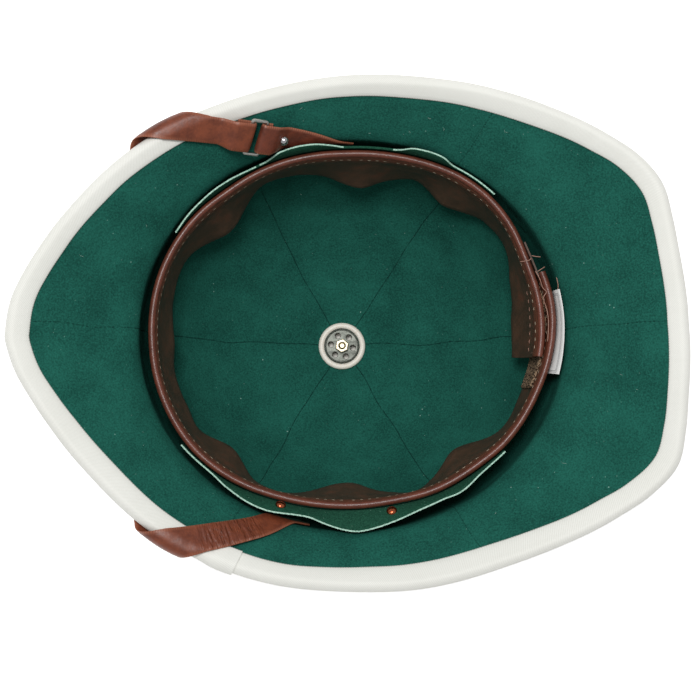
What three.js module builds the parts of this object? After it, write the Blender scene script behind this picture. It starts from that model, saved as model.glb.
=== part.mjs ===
// A pith helmet with a wide brim, lying upside down on its ventilator cap.
// Millimetres, +Z up. The origin is the middle of the cap's flat face, +X is the rear of the helmet
// and +Y the wearer's left, so the brim's front tip points to -X and the head opening faces up.
import * as THREE from "three";
import { mergeVertices } from "three/addons/utils/BufferGeometryUtils.js";

// Driving dimensions of the helmet's outline
const frontReach = 172.4;
const rearReach = 170.5;
const halfWidth = 132;
const frontLift = 40;
const rearLift = 45;
const sideLift = 26;
const sideSlope = 38;
const endSlope = 30;

// Crown and head opening, measured on the lining
const crownDepth = 106.8;
const crownFullness = 2.3;
const openingHalfLength = 112;
const openingHalfWidth = 103;
const openingShift = 3;

// Thicknesses and clearances
const shellWall = 4;
const liningThickness = 1;
const bindingThickness = 1;
const gap = 0.3;
const drapeGap = 0.7;

// Ventilator
const capHeight = 12;
const capRadius = 20;
const capFlatRadius = 15;
const ventHoleRadius = 8.6;
const ventSeatRadius = 16;
const ventRingRadius = 13.5;
const ventRingWidth = 3.3;
const ventRingHeight = 1.8;
const ventPlateThickness = 1;
const airHoleRadius = 1.65;
const airHoleCircle = 6.4;
const airHoleCount = 6;
const airHoleStart = 50;
const postRadius = 1.6;
const postEnd = 1;
const nutAcrossFlats = 7;
const nutHeight = 3;

// Sweatband
const bandHalfLength = 105.4;
const bandHalfWidth = 94.2;
const bandShiftRear = 2.4;
const bandShiftLeft = 3;
const bandHeight = 40;
const bandThickness = 1.5;
const weltRadius = 1.9;
const lobeInset = 16;
const lobePower = 1.6;
const bandInnerEnd = -9.6;
const bandOuterEnd = 375.5;
const overlapEase = 30;

// Closing tape, label and side strips
const tapeThickness = 1.4;
const tapeStart = 341;
const tapeEnd = 372;
const labelThickness = 0.6;
const labelHalfLength = 21.5;
const labelFoot = 6;
const labelRise = 5;
const labelShift = -2.2;
const stripThickness = 1.2;
const stripFoot = 10;
const stripRise = 8;
const stripStep = 5;

// Chin strap, its tab, slide and studs
const strapWidth = 15.8;
const strapThickness = 1.3;
const slideBar = 1.5;
const slideSpacing = 8.4;
const slideLift = 0.8;
const strapFoldRun = 8;
const tabFoldRun = 5;
const rivetRadius = 2.8;
const rivetHeight = 2.2;
const rivetFrontAt = 246.7;
const rivetRearAt = 280.9;
const rivetShare = 0.4;
const studRadius = 2.6;
const studHeight = 3;

// Fineness of the faceted surfaces
const aroundCount = 60;
const bandCount = 60;
const strapCount = 46;
const holeCount = 8;
const labelCount = 4;
const roundCount = 24;
const studCount = 12;

// Levels that follow from the sizes above
const linedWall = liningThickness + gap + shellWall;
const crownLevel = capHeight + gap + linedWall;
const openingLevel = crownLevel + crownDepth;
const fullTurn = 2 * Math.PI;

// Half outline of the brim seen from above, from the rear middle to the front tip. Along is a
// share of the rear reach or, where negative, of the front reach, and across one of the half width.
const brimOutline = [
  { along: 1, across: 0 },
  { along: 0.988, across: 0.271 },
  { along: 0.973, across: 0.41 },
  { along: 0.947, across: 0.545 },
  { along: 0.878, across: 0.655 },
  { along: 0.785, across: 0.737 },
  { along: 0.597, across: 0.856 },
  { along: 0.419, across: 0.936 },
  { along: 0.164, across: 0.998 },
  { along: -0.08, across: 0.991 },
  { along: -0.316, across: 0.926 },
  { along: -0.545, across: 0.79 },
  { along: -0.748, across: 0.564 },
  { along: -0.872, across: 0.37 },
  { along: -0.929, across: 0.258 },
  { along: -0.977, across: 0.134 },
  { along: -1, across: 0 },
];

// The pressed pith is a little out of true: how far the rim stands out, by the angle from the rear
const rimWave = [
  { at: 0, out: 2.1 },
  { at: 10, out: 1 },
  { at: 25, out: 0.8 },
  { at: 40, out: 2.3 },
  { at: 57, out: 3.1 },
  { at: 72, out: 1.9 },
  { at: 90, out: 1.9 },
  { at: 110, out: 0.8 },
  { at: 120, out: 0.8 },
  { at: 135, out: 2 },
  { at: 148, out: 3.3 },
  { at: 170, out: 3.5 },
  { at: 180, out: 2.1 },
  { at: 190, out: 0 },
  { at: 205, out: 0.4 },
  { at: 220, out: 1.5 },
  { at: 235, out: 2.3 },
  { at: 252, out: 2.8 },
  { at: 270, out: 1.7 },
  { at: 285, out: 1.9 },
  { at: 302, out: 0.8 },
  { at: 320, out: 1.2 },
  { at: 330, out: 2 },
  { at: 338, out: 4.1 },
  { at: 350, out: 3 },
  { at: 360, out: 2.1 },
];

// Width of the binding's legs, which the sewing leaves uneven
const bindingWave = [
  { at: 0, width: 8.2 },
  { at: 15, width: 8.2 },
  { at: 47, width: 10.7 },
  { at: 70, width: 9.3 },
  { at: 97, width: 8 },
  { at: 125, width: 8.5 },
  { at: 160, width: 9.2 },
  { at: 185, width: 10 },
  { at: 203, width: 11.2 },
  { at: 225, width: 10.3 },
  { at: 250, width: 8.9 },
  { at: 268, width: 10 },
  { at: 285, width: 11.4 },
  { at: 305, width: 11.7 },
  { at: 325, width: 11.2 },
  { at: 345, width: 8.5 },
  { at: 360, width: 8.2 },
];

// Places between the crown's middle and the head opening where the section has a row
const crownRows = [0.17, 0.34, 0.5, 0.66, 0.82, 1];

// Places along the brim's curve where the section has a row
const brimRows = [0.28, 0.62, 1];

// How far the brim's curve keeps its direction at the head opening and at the binding
const throatHold = 0.26;
const brimHold = 0.4;

// Waves of the sweatband's free edge: at is the angle from the rear, inset a share of lobeInset
const bandLobes = [
  { at: -12, inset: 0.55 },
  { at: -3, inset: 0.66 },
  { at: 4, inset: 0.66 },
  { at: 15, inset: 0.4 },
  { at: 28, inset: 0.1 },
  { at: 39, inset: 0.25 },
  { at: 52, inset: 0.7 },
  { at: 64, inset: 0.24 },
  { at: 70, inset: 0.28 },
  { at: 85, inset: 0.76 },
  { at: 98, inset: 0.32 },
  { at: 108, inset: 0.1 },
  { at: 120, inset: 0.08 },
  { at: 138, inset: 0.82 },
  { at: 153, inset: 0.3 },
  { at: 166, inset: 0.35 },
  { at: 182, inset: 0.55 },
  { at: 193, inset: 0.44 },
  { at: 203, inset: 0.49 },
  { at: 211, inset: 0.42 },
  { at: 223, inset: 0.79 },
  { at: 236, inset: 0.17 },
  { at: 244, inset: 0.05 },
  { at: 251, inset: 0.2 },
  { at: 267, inset: 0.68 },
  { at: 283, inset: 0.17 },
  { at: 291, inset: 0.02 },
  { at: 298, inset: 0.2 },
  { at: 311, inset: 0.72 },
  { at: 326, inset: 0.14 },
  { at: 338, inset: 0.2 },
  { at: 350, inset: 0.25 },
  { at: 376, inset: 0.25 },
];

// How far the welt stands out from a true oval, by the angle from the rear
const bandWave = [
  { at: -12, out: 0.5 },
  { at: 16, out: 0.5 },
  { at: 22, out: 0.9 },
  { at: 30, out: 1.7 },
  { at: 40, out: 2.1 },
  { at: 52, out: 2.7 },
  { at: 62, out: 2 },
  { at: 75, out: 0.9 },
  { at: 90, out: 0.2 },
  { at: 98, out: 0.5 },
  { at: 112, out: 1 },
  { at: 122, out: 0.8 },
  { at: 131, out: 0.5 },
  { at: 142, out: 1.3 },
  { at: 155, out: 1.4 },
  { at: 170, out: 1.1 },
  { at: 182, out: 1 },
  { at: 192, out: 1.8 },
  { at: 205, out: 3.1 },
  { at: 215, out: 4 },
  { at: 223, out: 3.9 },
  { at: 232, out: 3.1 },
  { at: 245, out: 1.3 },
  { at: 258, out: 0.3 },
  { at: 270, out: -0.2 },
  { at: 282, out: -0.5 },
  { at: 296, out: 0.4 },
  { at: 312, out: 0.1 },
  { at: 322, out: 0.8 },
  { at: 340, out: 0.5 },
  { at: 352, out: 1.5 },
  { at: 364, out: 2.5 },
  { at: 376, out: 2.1 },
];

// Side strips: lean says how far the top edge reaches from the welt (0) to the wall (1)
const leftStripWave = [
  { at: 42, lean: 0 },
  { at: 50, lean: 0 },
  { at: 56, lean: 0.05 },
  { at: 62, lean: 0.29 },
  { at: 69, lean: 0.25 },
  { at: 76, lean: 0 },
  { at: 90, lean: 0 },
  { at: 94, lean: 0.11 },
  { at: 98, lean: 0.2 },
  { at: 102, lean: 0.3 },
  { at: 106, lean: 0.34 },
  { at: 110.5, lean: 0.28 },
  { at: 114, lean: 0.12 },
  { at: 117, lean: 0.02 },
  { at: 120, lean: 0.02 },
  { at: 124, lean: 0.09 },
  { at: 128, lean: 0.15 },
  { at: 133, lean: 0.18 },
  { at: 139, lean: 0.14 },
  { at: 145, lean: 0.1 },
  { at: 150, lean: 0 },
];
const rightStripWave = [
  { at: 213, lean: 0.12 },
  { at: 222, lean: 0.03 },
  { at: 231, lean: 0.28 },
  { at: 237, lean: 0.45 },
  { at: 243.5, lean: 0.48 },
  { at: 250.6, lean: 0.33 },
  { at: 255.7, lean: 0.31 },
  { at: 260.3, lean: 0.47 },
  { at: 266, lean: 0.66 },
  { at: 270.4, lean: 0.72 },
  { at: 275.6, lean: 0.62 },
  { at: 282.3, lean: 0.46 },
  { at: 289.5, lean: 0.29 },
  { at: 296.7, lean: 0.22 },
  { at: 302, lean: 0.27 },
  { at: 310, lean: 0.13 },
  { at: 320, lean: 0.04 },
];

// Route of the chin strap's middle line: at is the angle from the rear, wrap runs from -1 at the
// head opening under the brim, through 0 at the rim, to +1 at the head opening above the brim
const strapRoute = [
  { at: 255.5, wrap: -1.3 },
  { at: 252, wrap: -1.18 },
  { at: 248.8, wrap: -1 },
  { at: 244.2, wrap: -0.74 },
  { at: 238.5, wrap: -0.49 },
  { at: 233.2, wrap: -0.26 },
  { at: 227.5, wrap: 0 },
  { at: 218, wrap: 0.46 },
  { at: 209, wrap: 0.74 },
  { at: 195, wrap: 0.92 },
  { at: 180, wrap: 0.93 },
  { at: 165, wrap: 0.92 },
  { at: 150, wrap: 0.74 },
  { at: 141.5, wrap: 0.46 },
  { at: 131, wrap: 0 },
  { at: 126, wrap: -0.19 },
  { at: 121.6, wrap: -0.34 },
];
const slidePlace = { at: 114.2, wrap: -0.56, slant: -0.06 };
const tabRoute = [
  { at: 88.5, wrap: -1.24 },
  { at: 92, wrap: -1.14 },
  { at: 96.5, wrap: -1.01 },
  { at: 101, wrap: -0.89 },
  { at: 105.5, wrap: -0.77 },
];

const radians = (degrees) => (degrees * Math.PI) / 180;
const lerp = (from, to, share) => from + (to - from) * share;
const smooth = (share) => {
  const s = Math.min(1, Math.max(0, share));
  return s * s * (3 - 2 * s);
};

// Smooth curve through the rows of a table, read off at one value of its first column
function readTable(rows, key, value, place) {
  const last = rows.length - 1;
  let i = 0;
  while (i < last - 1 && rows[i + 1][key] < place) i += 1;
  const slope = (k) => {
    const a = rows[Math.max(0, k - 1)];
    const b = rows[Math.min(last, k + 1)];
    return (b[value] - a[value]) / (b[key] - a[key]);
  };
  const from = rows[i];
  const to = rows[i + 1];
  const span = to[key] - from[key];
  const t = Math.min(1, Math.max(0, (place - from[key]) / span));
  const rise = to[value] - from[value];
  const bend = t * (1 - t) * span;
  return (
    from[value] +
    rise * smooth(t) +
    bend * (slope(i) * (1 - t) - slope(i + 1) * t)
  );
}

// Outline rows as angle and radius about the ventilator's axis
const outlineByAngle = brimOutline.map(({ along, across }) => {
  const x = along * (along < 0 ? frontReach : rearReach);
  const y = across * halfWidth;
  return { angle: Math.atan2(y, x), radius: Math.hypot(x, y) };
});

// Angle from the rear in degrees, from 0 to 360
const fromRear = (angle) => ((angle * 360) / fullTurn + 360) % 360;

// Radius of the brim's edge: one outline for both sides, and the rim's own wave on it
function rimRadius(angle) {
  const side = Math.abs(Math.atan2(Math.sin(angle), Math.cos(angle)));
  const wave = readTable(rimWave, "at", "out", fromRear(angle));
  return readTable(outlineByAngle, "angle", "radius", side) + wave;
}
const bindingWidth = (angle) => readTable(bindingWave, "at", "width", fromRear(angle));

// Height of the rim above the head opening, highest at the front and the rear
function rimLift(angle) {
  const end = Math.cos(angle) < 0 ? frontLift : rearLift;
  return lerp(sideLift, end, Math.cos(angle) ** 2);
}

// Radius of the oval head opening, whose middle lies openingShift to the rear
function openingRadius(angle) {
  const c = Math.cos(angle);
  const s = Math.sin(angle);
  const a = openingHalfLength;
  const b = openingHalfWidth;
  const square = (c / a) ** 2 + (s / b) ** 2;
  const half = (c * openingShift) / a ** 2;
  const rest = (openingShift / a) ** 2 - 1;
  return (half + Math.sqrt(half ** 2 - square * rest)) / square;
}

// Section of the lining's visible face at one angle: points [radius, height] from the ventilator
// hole over the crown and the head opening to the rim, ending in a straight stretch for the binding
function sectionLine(angle) {
  const points = [
    [ventHoleRadius, crownLevel],
    [ventSeatRadius, crownLevel],
  ];
  const opening = openingRadius(angle);
  for (const row of crownRows) {
    const t = (row * Math.PI) / 2;
    const power = 2 / crownFullness;
    const radius = opening * Math.sin(t) ** power;
    const depth = crownDepth * Math.max(0, Math.cos(t)) ** power;
    points.push([radius, openingLevel - depth]);
  }
  const slope = radians(lerp(sideSlope, endSlope, Math.cos(angle) ** 2));
  const run = [Math.cos(slope), Math.sin(slope)];
  const thick = linedWall + gap + bindingThickness;
  const rim = [
    rimRadius(angle) - thick * run[1] - (gap + bindingThickness) * run[0],
    openingLevel + rimLift(angle),
  ];
  const straight = bindingWidth(angle) + gap;
  const end = [rim[0] - straight * run[0], rim[1] - straight * run[1]];
  const reach = end[0] - opening;
  const rise = end[1] - openingLevel;
  const curve = new THREE.CubicBezierCurve(
    new THREE.Vector2(opening, openingLevel),
    new THREE.Vector2(opening, openingLevel + throatHold * rise),
    new THREE.Vector2(end[0] - brimHold * reach, end[1] - brimHold * reach * Math.tan(slope)),
    new THREE.Vector2(end[0], end[1]),
  );
  for (const row of brimRows) points.push(curve.getPoint(row).toArray());
  points.push(rim);
  return points;
}

// The same line moved sideways: positive is through the wall to the outside of the helmet
function offsetLine(line, offset) {
  const normals = [];
  for (let i = 0; i + 1 < line.length; i += 1) {
    const dr = line[i + 1][0] - line[i][0];
    const dz = line[i + 1][1] - line[i][1];
    const length = Math.hypot(dr, dz);
    normals.push([dz / length, -dr / length]);
  }
  return line.map(([r, z], i) => {
    const a = normals[Math.max(0, i - 1)];
    const b = normals[Math.min(normals.length - 1, i)];
    const scale = offset / (1 + a[0] * b[0] + a[1] * b[1]);
    return [r + scale * (a[0] + b[0]), z + scale * (a[1] + b[1])];
  });
}

const onSection = (angle, [r, z]) => new THREE.Vector3(r * Math.cos(angle), r * Math.sin(angle), z);

// Solid between two grids of points with as many rows, [section][row]; a closed one runs round.
function slab(front, back, closed) {
  const sections = front.length;
  const rows = front[0].length;
  const points = [...front.flat(), ...back.flat()];
  const f = (i, j) => (i % sections) * rows + j;
  const b = (i, j) => f(i, j) + sections * rows;
  const faces = [];
  const quad = (p, q, r, s) => faces.push(p, q, r, p, r, s);
  const steps = closed ? sections : sections - 1;
  for (let i = 0; i < steps; i += 1) {
    for (let j = 0; j + 1 < rows; j += 1) {
      quad(f(i, j), f(i + 1, j), f(i + 1, j + 1), f(i, j + 1));
      faces.push(b(i, j), b(i + 1, j + 1), b(i + 1, j));
      faces.push(b(i, j), b(i, j + 1), b(i + 1, j + 1));
    }
    quad(f(i, 0), b(i, 0), b(i + 1, 0), f(i + 1, 0));
    quad(f(i, rows - 1), f(i + 1, rows - 1), b(i + 1, rows - 1), b(i, rows - 1));
  }
  for (let j = 0; j + 1 < rows && !closed; j += 1) {
    quad(f(0, j), f(0, j + 1), b(0, j + 1), b(0, j));
    quad(f(steps, j), b(steps, j), b(steps, j + 1), f(steps, j + 1));
  }
  return outward(points, faces);
}

// Geometry from points and faces, turned so that the faces point outwards
function outward(points, faces) {
  let volume = 0;
  for (let i = 0; i < faces.length; i += 3) {
    const [p, q, r] = [points[faces[i]], points[faces[i + 1]], points[faces[i + 2]]];
    volume += p.dot(new THREE.Vector3().crossVectors(q, r));
  }
  const geometry = new THREE.BufferGeometry().setFromPoints(points);
  geometry.setIndex(volume > 0 ? faces : [...faces].reverse());
  geometry.computeVertexNormals();
  return geometry;
}

// One solid that runs round the helmet, from its section's two sides at each angle
function around(frontAt, backAt) {
  const front = [];
  const back = [];
  for (let i = 0; i < aroundCount; i += 1) {
    const angle = (i * fullTurn) / aroundCount;
    front.push(frontAt(angle).map((point) => onSection(angle, point)));
    back.push(backAt(angle).map((point) => onSection(angle, point)));
  }
  return slab(front, back, true);
}

const helmet = new THREE.Group();

// Adds one named piece with its own material and returns its mesh
function piece(name, geometry, color, roughness, metalness = 0) {
  const material = new THREE.MeshStandardMaterial({ color, roughness, metalness });
  const mesh = new THREE.Mesh(geometry, material);
  mesh.name = name;
  helmet.add(mesh);
  return mesh;
}

// Shell of pith with its glued white cover, and the green cloth lining inside it
const between = (offset) => (angle) => offsetLine(sectionLine(angle), offset);
piece("shell", around(between(liningThickness + gap), between(linedWall)), 0xece9e2, 0.9);
piece("lining", around(between(0), between(liningThickness)), 0x1f5a4c, 0.95);

// Binding: a cloth tape folded over the rim, its legs parallel to the brim's last stretch
const bindingOuter = bindingThickness + gap;
const legs = (angle) => [
  { inward: bindingWidth(angle), outer: -bindingOuter, inner: -gap },
  { inward: -gap, outer: -bindingOuter, inner: -gap },
  { inward: -1.5 * gap, nose: -1.2 * bindingOuter, outer: linedWall / 2, inner: linedWall / 2 },
  { inward: -gap, outer: linedWall + bindingOuter, inner: linedWall + gap },
  { inward: bindingWidth(angle), outer: linedWall + bindingOuter, inner: linedWall + gap },
];
function rimPoint(angle, inward, through) {
  const line = sectionLine(angle);
  const [from, rim] = line.slice(-2);
  const length = Math.hypot(rim[0] - from[0], rim[1] - from[1]);
  const run = [(rim[0] - from[0]) / length, (rim[1] - from[1]) / length];
  return [rim[0] - inward * run[0] + through * run[1], rim[1] - inward * run[1] - through * run[0]];
}
piece(
  "brim_binding",
  around(
    (angle) => legs(angle).map((leg) => rimPoint(angle, leg.nose ?? leg.inward, leg.outer)),
    (angle) => legs(angle).map((leg) => rimPoint(angle, leg.inward, leg.inner)),
  ),
  0xf0eee8,
  0.95,
);

// Sweatband: a leather strip with a piped welt along its fixed edge. It closes at the rear, where
// the inner end lies inside the outer one.
const overlapStep = 2 * weltRadius + gap;
function weltOuterRadius(degrees) {
  const angle = radians(degrees);
  const wave = readTable(bandWave, "at", "out", degrees);
  return wave + 1 / Math.hypot(Math.cos(angle) / bandHalfLength, Math.sin(angle) / bandHalfWidth);
}
function bandRadius(degrees) {
  const overlap = bandOuterEnd - 360;
  const step = overlapStep * (1 - smooth((degrees - overlap) / overlapEase));
  return weltOuterRadius(degrees) - weltRadius - step;
}
// Point of the band at an angle: out from the welt's middle line, up from its level
function bandPoint(degrees, out, up) {
  const share = Math.max(0, -up / bandHeight);
  const inset = readTable(bandLobes, "at", "inset", degrees) * lobeInset * share ** lobePower;
  const radius = bandRadius(degrees) + out - inset;
  const angle = radians(degrees);
  return new THREE.Vector3(
    bandShiftRear + radius * Math.cos(angle),
    bandShiftLeft + radius * Math.sin(angle),
    openingLevel + up,
  );
}
const bandRows = [
  { out: bandThickness / 2, up: -bandHeight },
  { out: bandThickness / 2, up: -0.72 * bandHeight },
  { out: bandThickness / 2, up: -0.4 * bandHeight },
  { out: bandThickness / 2, up: -1.1 * weltRadius },
  { out: weltRadius, up: 0 },
  { out: 0.35 * weltRadius, up: 0.95 * weltRadius },
];
// Solid along the band from one angle to another, at the band's own stations
function bandSolid(rows, start, end) {
  const front = [];
  const back = [];
  const station = (degrees) =>
    Math.round((bandCount * (degrees - bandInnerEnd)) / (bandOuterEnd - bandInnerEnd));
  for (let i = station(start); i <= station(end); i += 1) {
    const degrees = lerp(bandInnerEnd, bandOuterEnd, i / bandCount);
    front.push(rows.map((row) => bandPoint(degrees, row.out, row.up)));
    back.push(rows.map((row) => bandPoint(degrees, row.back ?? -row.out, row.up)));
  }
  return slab(front, back, false);
}
piece("sweatband", bandSolid(bandRows, bandInnerEnd, bandOuterEnd), 0x6b3a2b, 0.5);

// Closing tape on the inner face of the sweatband's outer end
const tapeFace = -bandThickness / 2 - gap;
const tapeRows = [-0.92, -0.72, -0.4, -0.15].map((share) => ({
  out: tapeFace,
  back: tapeFace - tapeThickness,
  up: share * bandHeight,
}));
piece("grip_tape", bandSolid(tapeRows, tapeStart, tapeEnd), 0x4a3527, 0.95);

// Radius of the lining at an angle and a height near the head opening
function wallRadius(angle, height) {
  const line = sectionLine(angle);
  let i = 2;
  while (i < line.length - 2 && line[i + 1][1] < height) i += 1;
  const share = (height - line[i][1]) / (line[i + 1][1] - line[i][1]);
  return lerp(line[i][0], line[i + 1][0], share);
}

// Point between the sweatband's welt (lean 0) and the lining (lean 1), up from the opening's level
function betweenBandAndWall(degrees, lean, up, through) {
  const angle = radians(degrees);
  const welt = weltOuterRadius(degrees);
  const near = new THREE.Vector3(
    bandShiftRear + (welt + drapeGap) * Math.cos(angle),
    bandShiftLeft + (welt + drapeGap) * Math.sin(angle),
    openingLevel + up,
  );
  const around = Math.atan2(near.y, near.x);
  const wall = wallRadius(around, openingLevel + up) - drapeGap - stripThickness;
  const radius = lerp(Math.hypot(near.x, near.y), wall, lean) + through;
  return new THREE.Vector3(radius * Math.cos(around), radius * Math.sin(around), near.z);
}

// Side strips: cloth-covered strips that stand behind the sweatband and lean out to the wall. They
// stand lower where they keep close to the welt.
const lowShare = 0.3;
const lowLean = 0.25;
function strip(name, wave) {
  const first = wave[0].at;
  const last = wave[wave.length - 1].at;
  const count = Math.round((last - first) / stripStep);
  const rows = [
    { share: 0, up: -stripFoot },
    { share: 0, up: 0 },
    { share: 1 },
  ];
  const grid = (through) =>
    Array.from({ length: count + 1 }, (_, i) => {
      const degrees = lerp(first, last, i / count);
      const lean = readTable(wave, "at", "lean", degrees);
      const rise = stripRise * lerp(lowShare, 1, smooth(lean / lowLean));
      return rows.map(({ share, up = rise }) =>
        betweenBandAndWall(degrees, share * lean, up, through),
      );
    });
  piece(name, slab(grid(0), grid(stripThickness), false), 0x1d3a2d, 0.9);
}
strip("strip_left", leftStripWave);
strip("strip_right", rightStripWave);

// Label: a bare white tag caught behind the welt at the rear, leaning on to the brim
const labelSpan = (labelHalfLength / bandHalfLength) * (180 / Math.PI);
const labelRows = [
  { lean: 0, up: -labelFoot },
  { lean: 0.1, up: 0 },
  { lean: 0.62, up: labelRise },
];
const labelGrid = (through) =>
  Array.from({ length: labelCount + 1 }, (_, i) => {
    const degrees = 360 + labelShift + lerp(-labelSpan, labelSpan, i / labelCount);
    return labelRows.map(({ lean, up }) => betweenBandAndWall(degrees, lean, up, through));
  });
piece("label", slab(labelGrid(0), labelGrid(labelThickness), false), 0xf2f1ee, 0.9);

// Length of the brim's line from the rim to the head opening, on one of its sides
const openingRow = 1 + crownRows.length;
const lengthOf = (line) =>
  line.slice(1).reduce((sum, [r, z], i) => sum + Math.hypot(r - line[i][0], z - line[i][1]), 0);

// Share of the wrap that the binding's legs cover, over which a strap steps down to the brim, and
// its clearance over them as a share of their height
const bindingShare = 0.42;
const bindingClear = 1.6;

// Point at a lift from the bound brim, wrap as in strapRoute; round the rim it follows a half circle
function brimPoint(degrees, wrap, lift) {
  const angle = radians(degrees);
  const line = sectionLine(angle);
  const bound = bindingClear * bindingOuter * (1 - smooth((Math.abs(wrap) - bindingShare) / bindingShare));
  const side = wrap < 0 ? -bound - lift : linedWall + bound + lift;
  const bend = linedWall / 2 + bindingOuter + lift;
  const bare = linedWall / 2 + bindingOuter + drapeGap;
  const halfArc = (Math.PI / 2) * bare;
  const brim = lengthOf(line.slice(openingRow)) + halfArc;
  const travelled = Math.abs(wrap) * brim;
  if (travelled < halfArc) {
    const turn = (wrap * brim) / bare;
    const inward = -bend * Math.cos(turn);
    return onSection(angle, rimPoint(angle, inward, linedWall / 2 + bend * Math.sin(turn)));
  }
  let left = travelled - halfArc;
  const path = offsetLine(line, side).reverse();
  let i = 0;
  let step = Math.hypot(path[1][0] - path[0][0], path[1][1] - path[0][1]);
  while (left > step && i < path.length - 2) {
    left -= step;
    i += 1;
    step = Math.hypot(path[i + 1][0] - path[i][0], path[i + 1][1] - path[i][1]);
  }
  const share = left / step;
  return onSection(angle, [
    lerp(path[i][0], path[i + 1][0], share),
    lerp(path[i][1], path[i + 1][1], share),
  ]);
}

// Rails of a strap laid along the brim: left edge, middle and right edge at each step of its route
const restLift = drapeGap + strapThickness / 2;
const acrossStrap = [-0.5, -0.25, 0, 0.25, 0.5];
const brimScale = 50;
function layStrap(route, count) {
  const sideScale = radians(1) * halfWidth;
  const flat = route.map(({ at, wrap }) => new THREE.Vector2(at * sideScale, wrap * brimScale));
  const curve = new THREE.SplineCurve(flat);
  return closerAtTurns(curve, count).map((place) => {
    const middle = curve.getPointAt(place);
    const tangent = curve.getTangentAt(place);
    return acrossStrap.map((side) => {
      const x = middle.x - tangent.y * side * strapWidth;
      const y = middle.y + tangent.x * side * strapWidth;
      return brimPoint(x / sideScale, y / brimScale, restLift);
    });
  });
}
// Places along a route for a number of steps, several times closer at the rim and at the opening
function closerAtTurns(curve, count) {
  const fine = 400;
  const closer = 3;
  const turnShare = 0.3;
  const sums = [0];
  for (let i = 1; i <= fine; i += 1) {
    const wrap = curve.getPointAt(i / fine).y / brimScale;
    const near = Math.exp(-((wrap / turnShare) ** 2)) + Math.exp(-(((wrap + 1) / turnShare) ** 2));
    sums.push(sums[i - 1] + 1 + closer * near);
  }
  const places = [];
  for (let i = 0, k = 0; i <= count; i += 1) {
    while (k < fine && sums[k] < (sums[fine] * i) / count) k += 1;
    places.push(k / fine);
  }
  return places;
}

// Frame of the slide that joins strap and tab: wide runs from the strap's bar to the tab's, long
// along the bars and up away from the brim
const middleOf = (row) => row[0].clone().add(row[row.length - 1]).multiplyScalar(0.5);
const foldRadius = slideBar * Math.SQRT1_2 + gap + strapThickness / 2;
const slideSeat = brimPoint(slidePlace.at, slidePlace.wrap, restLift + slideLift);
const slideWide = brimPoint(slidePlace.at - 1, slidePlace.wrap + slidePlace.slant / 2, restLift)
  .sub(brimPoint(slidePlace.at + 1, slidePlace.wrap - slidePlace.slant / 2, restLift))
  .normalize();
const slideUp = brimPoint(slidePlace.at, slidePlace.wrap, restLift + slideLift + 1).sub(slideSeat);
const slideLong = new THREE.Vector3().crossVectors(slideUp, slideWide).normalize();
slideUp.crossVectors(slideWide, slideLong);

// Carries a strap's end up to its bar, round it and a short way back underneath. Heading is 1
// towards the tab's bar and -1 towards the strap's; run is the flat stretch before the bar.
function foldOverBar(rails, heading, run) {
  const last = rails[rails.length - 1];
  const along = slideWide.clone().multiplyScalar(heading);
  const sideways = last[last.length - 1].clone().sub(last[0]);
  const width = slideLong.clone().multiplyScalar(Math.sign(sideways.dot(slideLong)));
  const top = 2 * foldRadius;
  const at = (x, y) =>
    acrossStrap.map((side) =>
      slideSeat
        .clone()
        .addScaledVector(along, x - slideSpacing / 2)
        .addScaledVector(slideUp, y)
        .addScaledVector(width, side * strapWidth),
    );
  const flat = at(-run, top);
  const rise = [0.25, 0.5, 0.75].map((share) =>
    last.map((point, k) => {
      const up = top * (smooth(share) - share);
      return point.clone().lerp(flat[k], share).addScaledVector(slideUp, up);
    }),
  );
  const round = Array.from({ length: 7 }, (_, i) => {
    const turn = (i * Math.PI) / 6;
    return at(foldRadius * Math.sin(turn), foldRadius * (1 + Math.cos(turn)));
  });
  return [...rails, ...rise, flat, ...round, at(-0.9 * run, 0)];
}

// Strap solid from its rails, its thickness square to them
function ribbon(rails) {
  const last = rails.length - 1;
  const grid = (side) =>
    rails.map((row, i) => {
      const before = middleOf(rails[Math.max(0, i - 1)]);
      const after = middleOf(rails[Math.min(last, i + 1)]);
      const along = after.sub(before).normalize();
      const across = row[row.length - 1].clone().sub(row[0]).normalize();
      const normal = new THREE.Vector3().crossVectors(along, across).normalize();
      return row.map((point) => point.clone().addScaledVector(normal, (side * strapThickness) / 2));
    });
  return slab(grid(1), grid(-1), false);
}

const strapRails = foldOverBar(layStrap(strapRoute, strapCount), 1, strapFoldRun);
piece("chin_strap", ribbon(strapRails), 0x7c4331, 0.45);
const tabRails = layStrap(tabRoute, 6);
const foldedTab = foldOverBar(tabRails, -1, tabFoldRun);
piece("strap_tab", ribbon(foldedTab), 0x70392b, 0.45);

// Slide: a flat metal ring whose two bars the strap and the tab are folded over
function rectangle(Kind, width, length) {
  const [x, y] = [width / 2, length / 2];
  const corners = [[-x, -y], [x, -y], [x, y], [-x, y]];
  return new Kind(corners.map((corner) => new THREE.Vector2(...corner)));
}
const windowLength = strapWidth + 2 * drapeGap;
const windowWidth = slideSpacing - slideBar;
const slideOutline = rectangle(THREE.Shape, windowWidth + 2 * slideBar, windowLength + 2 * slideBar);
const slideWindow = rectangle(THREE.Path, windowWidth, windowLength);
slideOutline.holes.push(slideWindow);
const slideGeometry = new THREE.ExtrudeGeometry(slideOutline, { depth: slideBar, bevelEnabled: false });
slideGeometry.translate(0, 0, -slideBar / 2);
const slide = piece("strap_slide", slideGeometry, 0xa9a7a0, 0.35, 1);
slide.quaternion.setFromRotationMatrix(new THREE.Matrix4().makeBasis(slideWide, slideLong, slideUp));
slide.position.copy(slideSeat).addScaledVector(slideUp, foldRadius);

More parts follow.
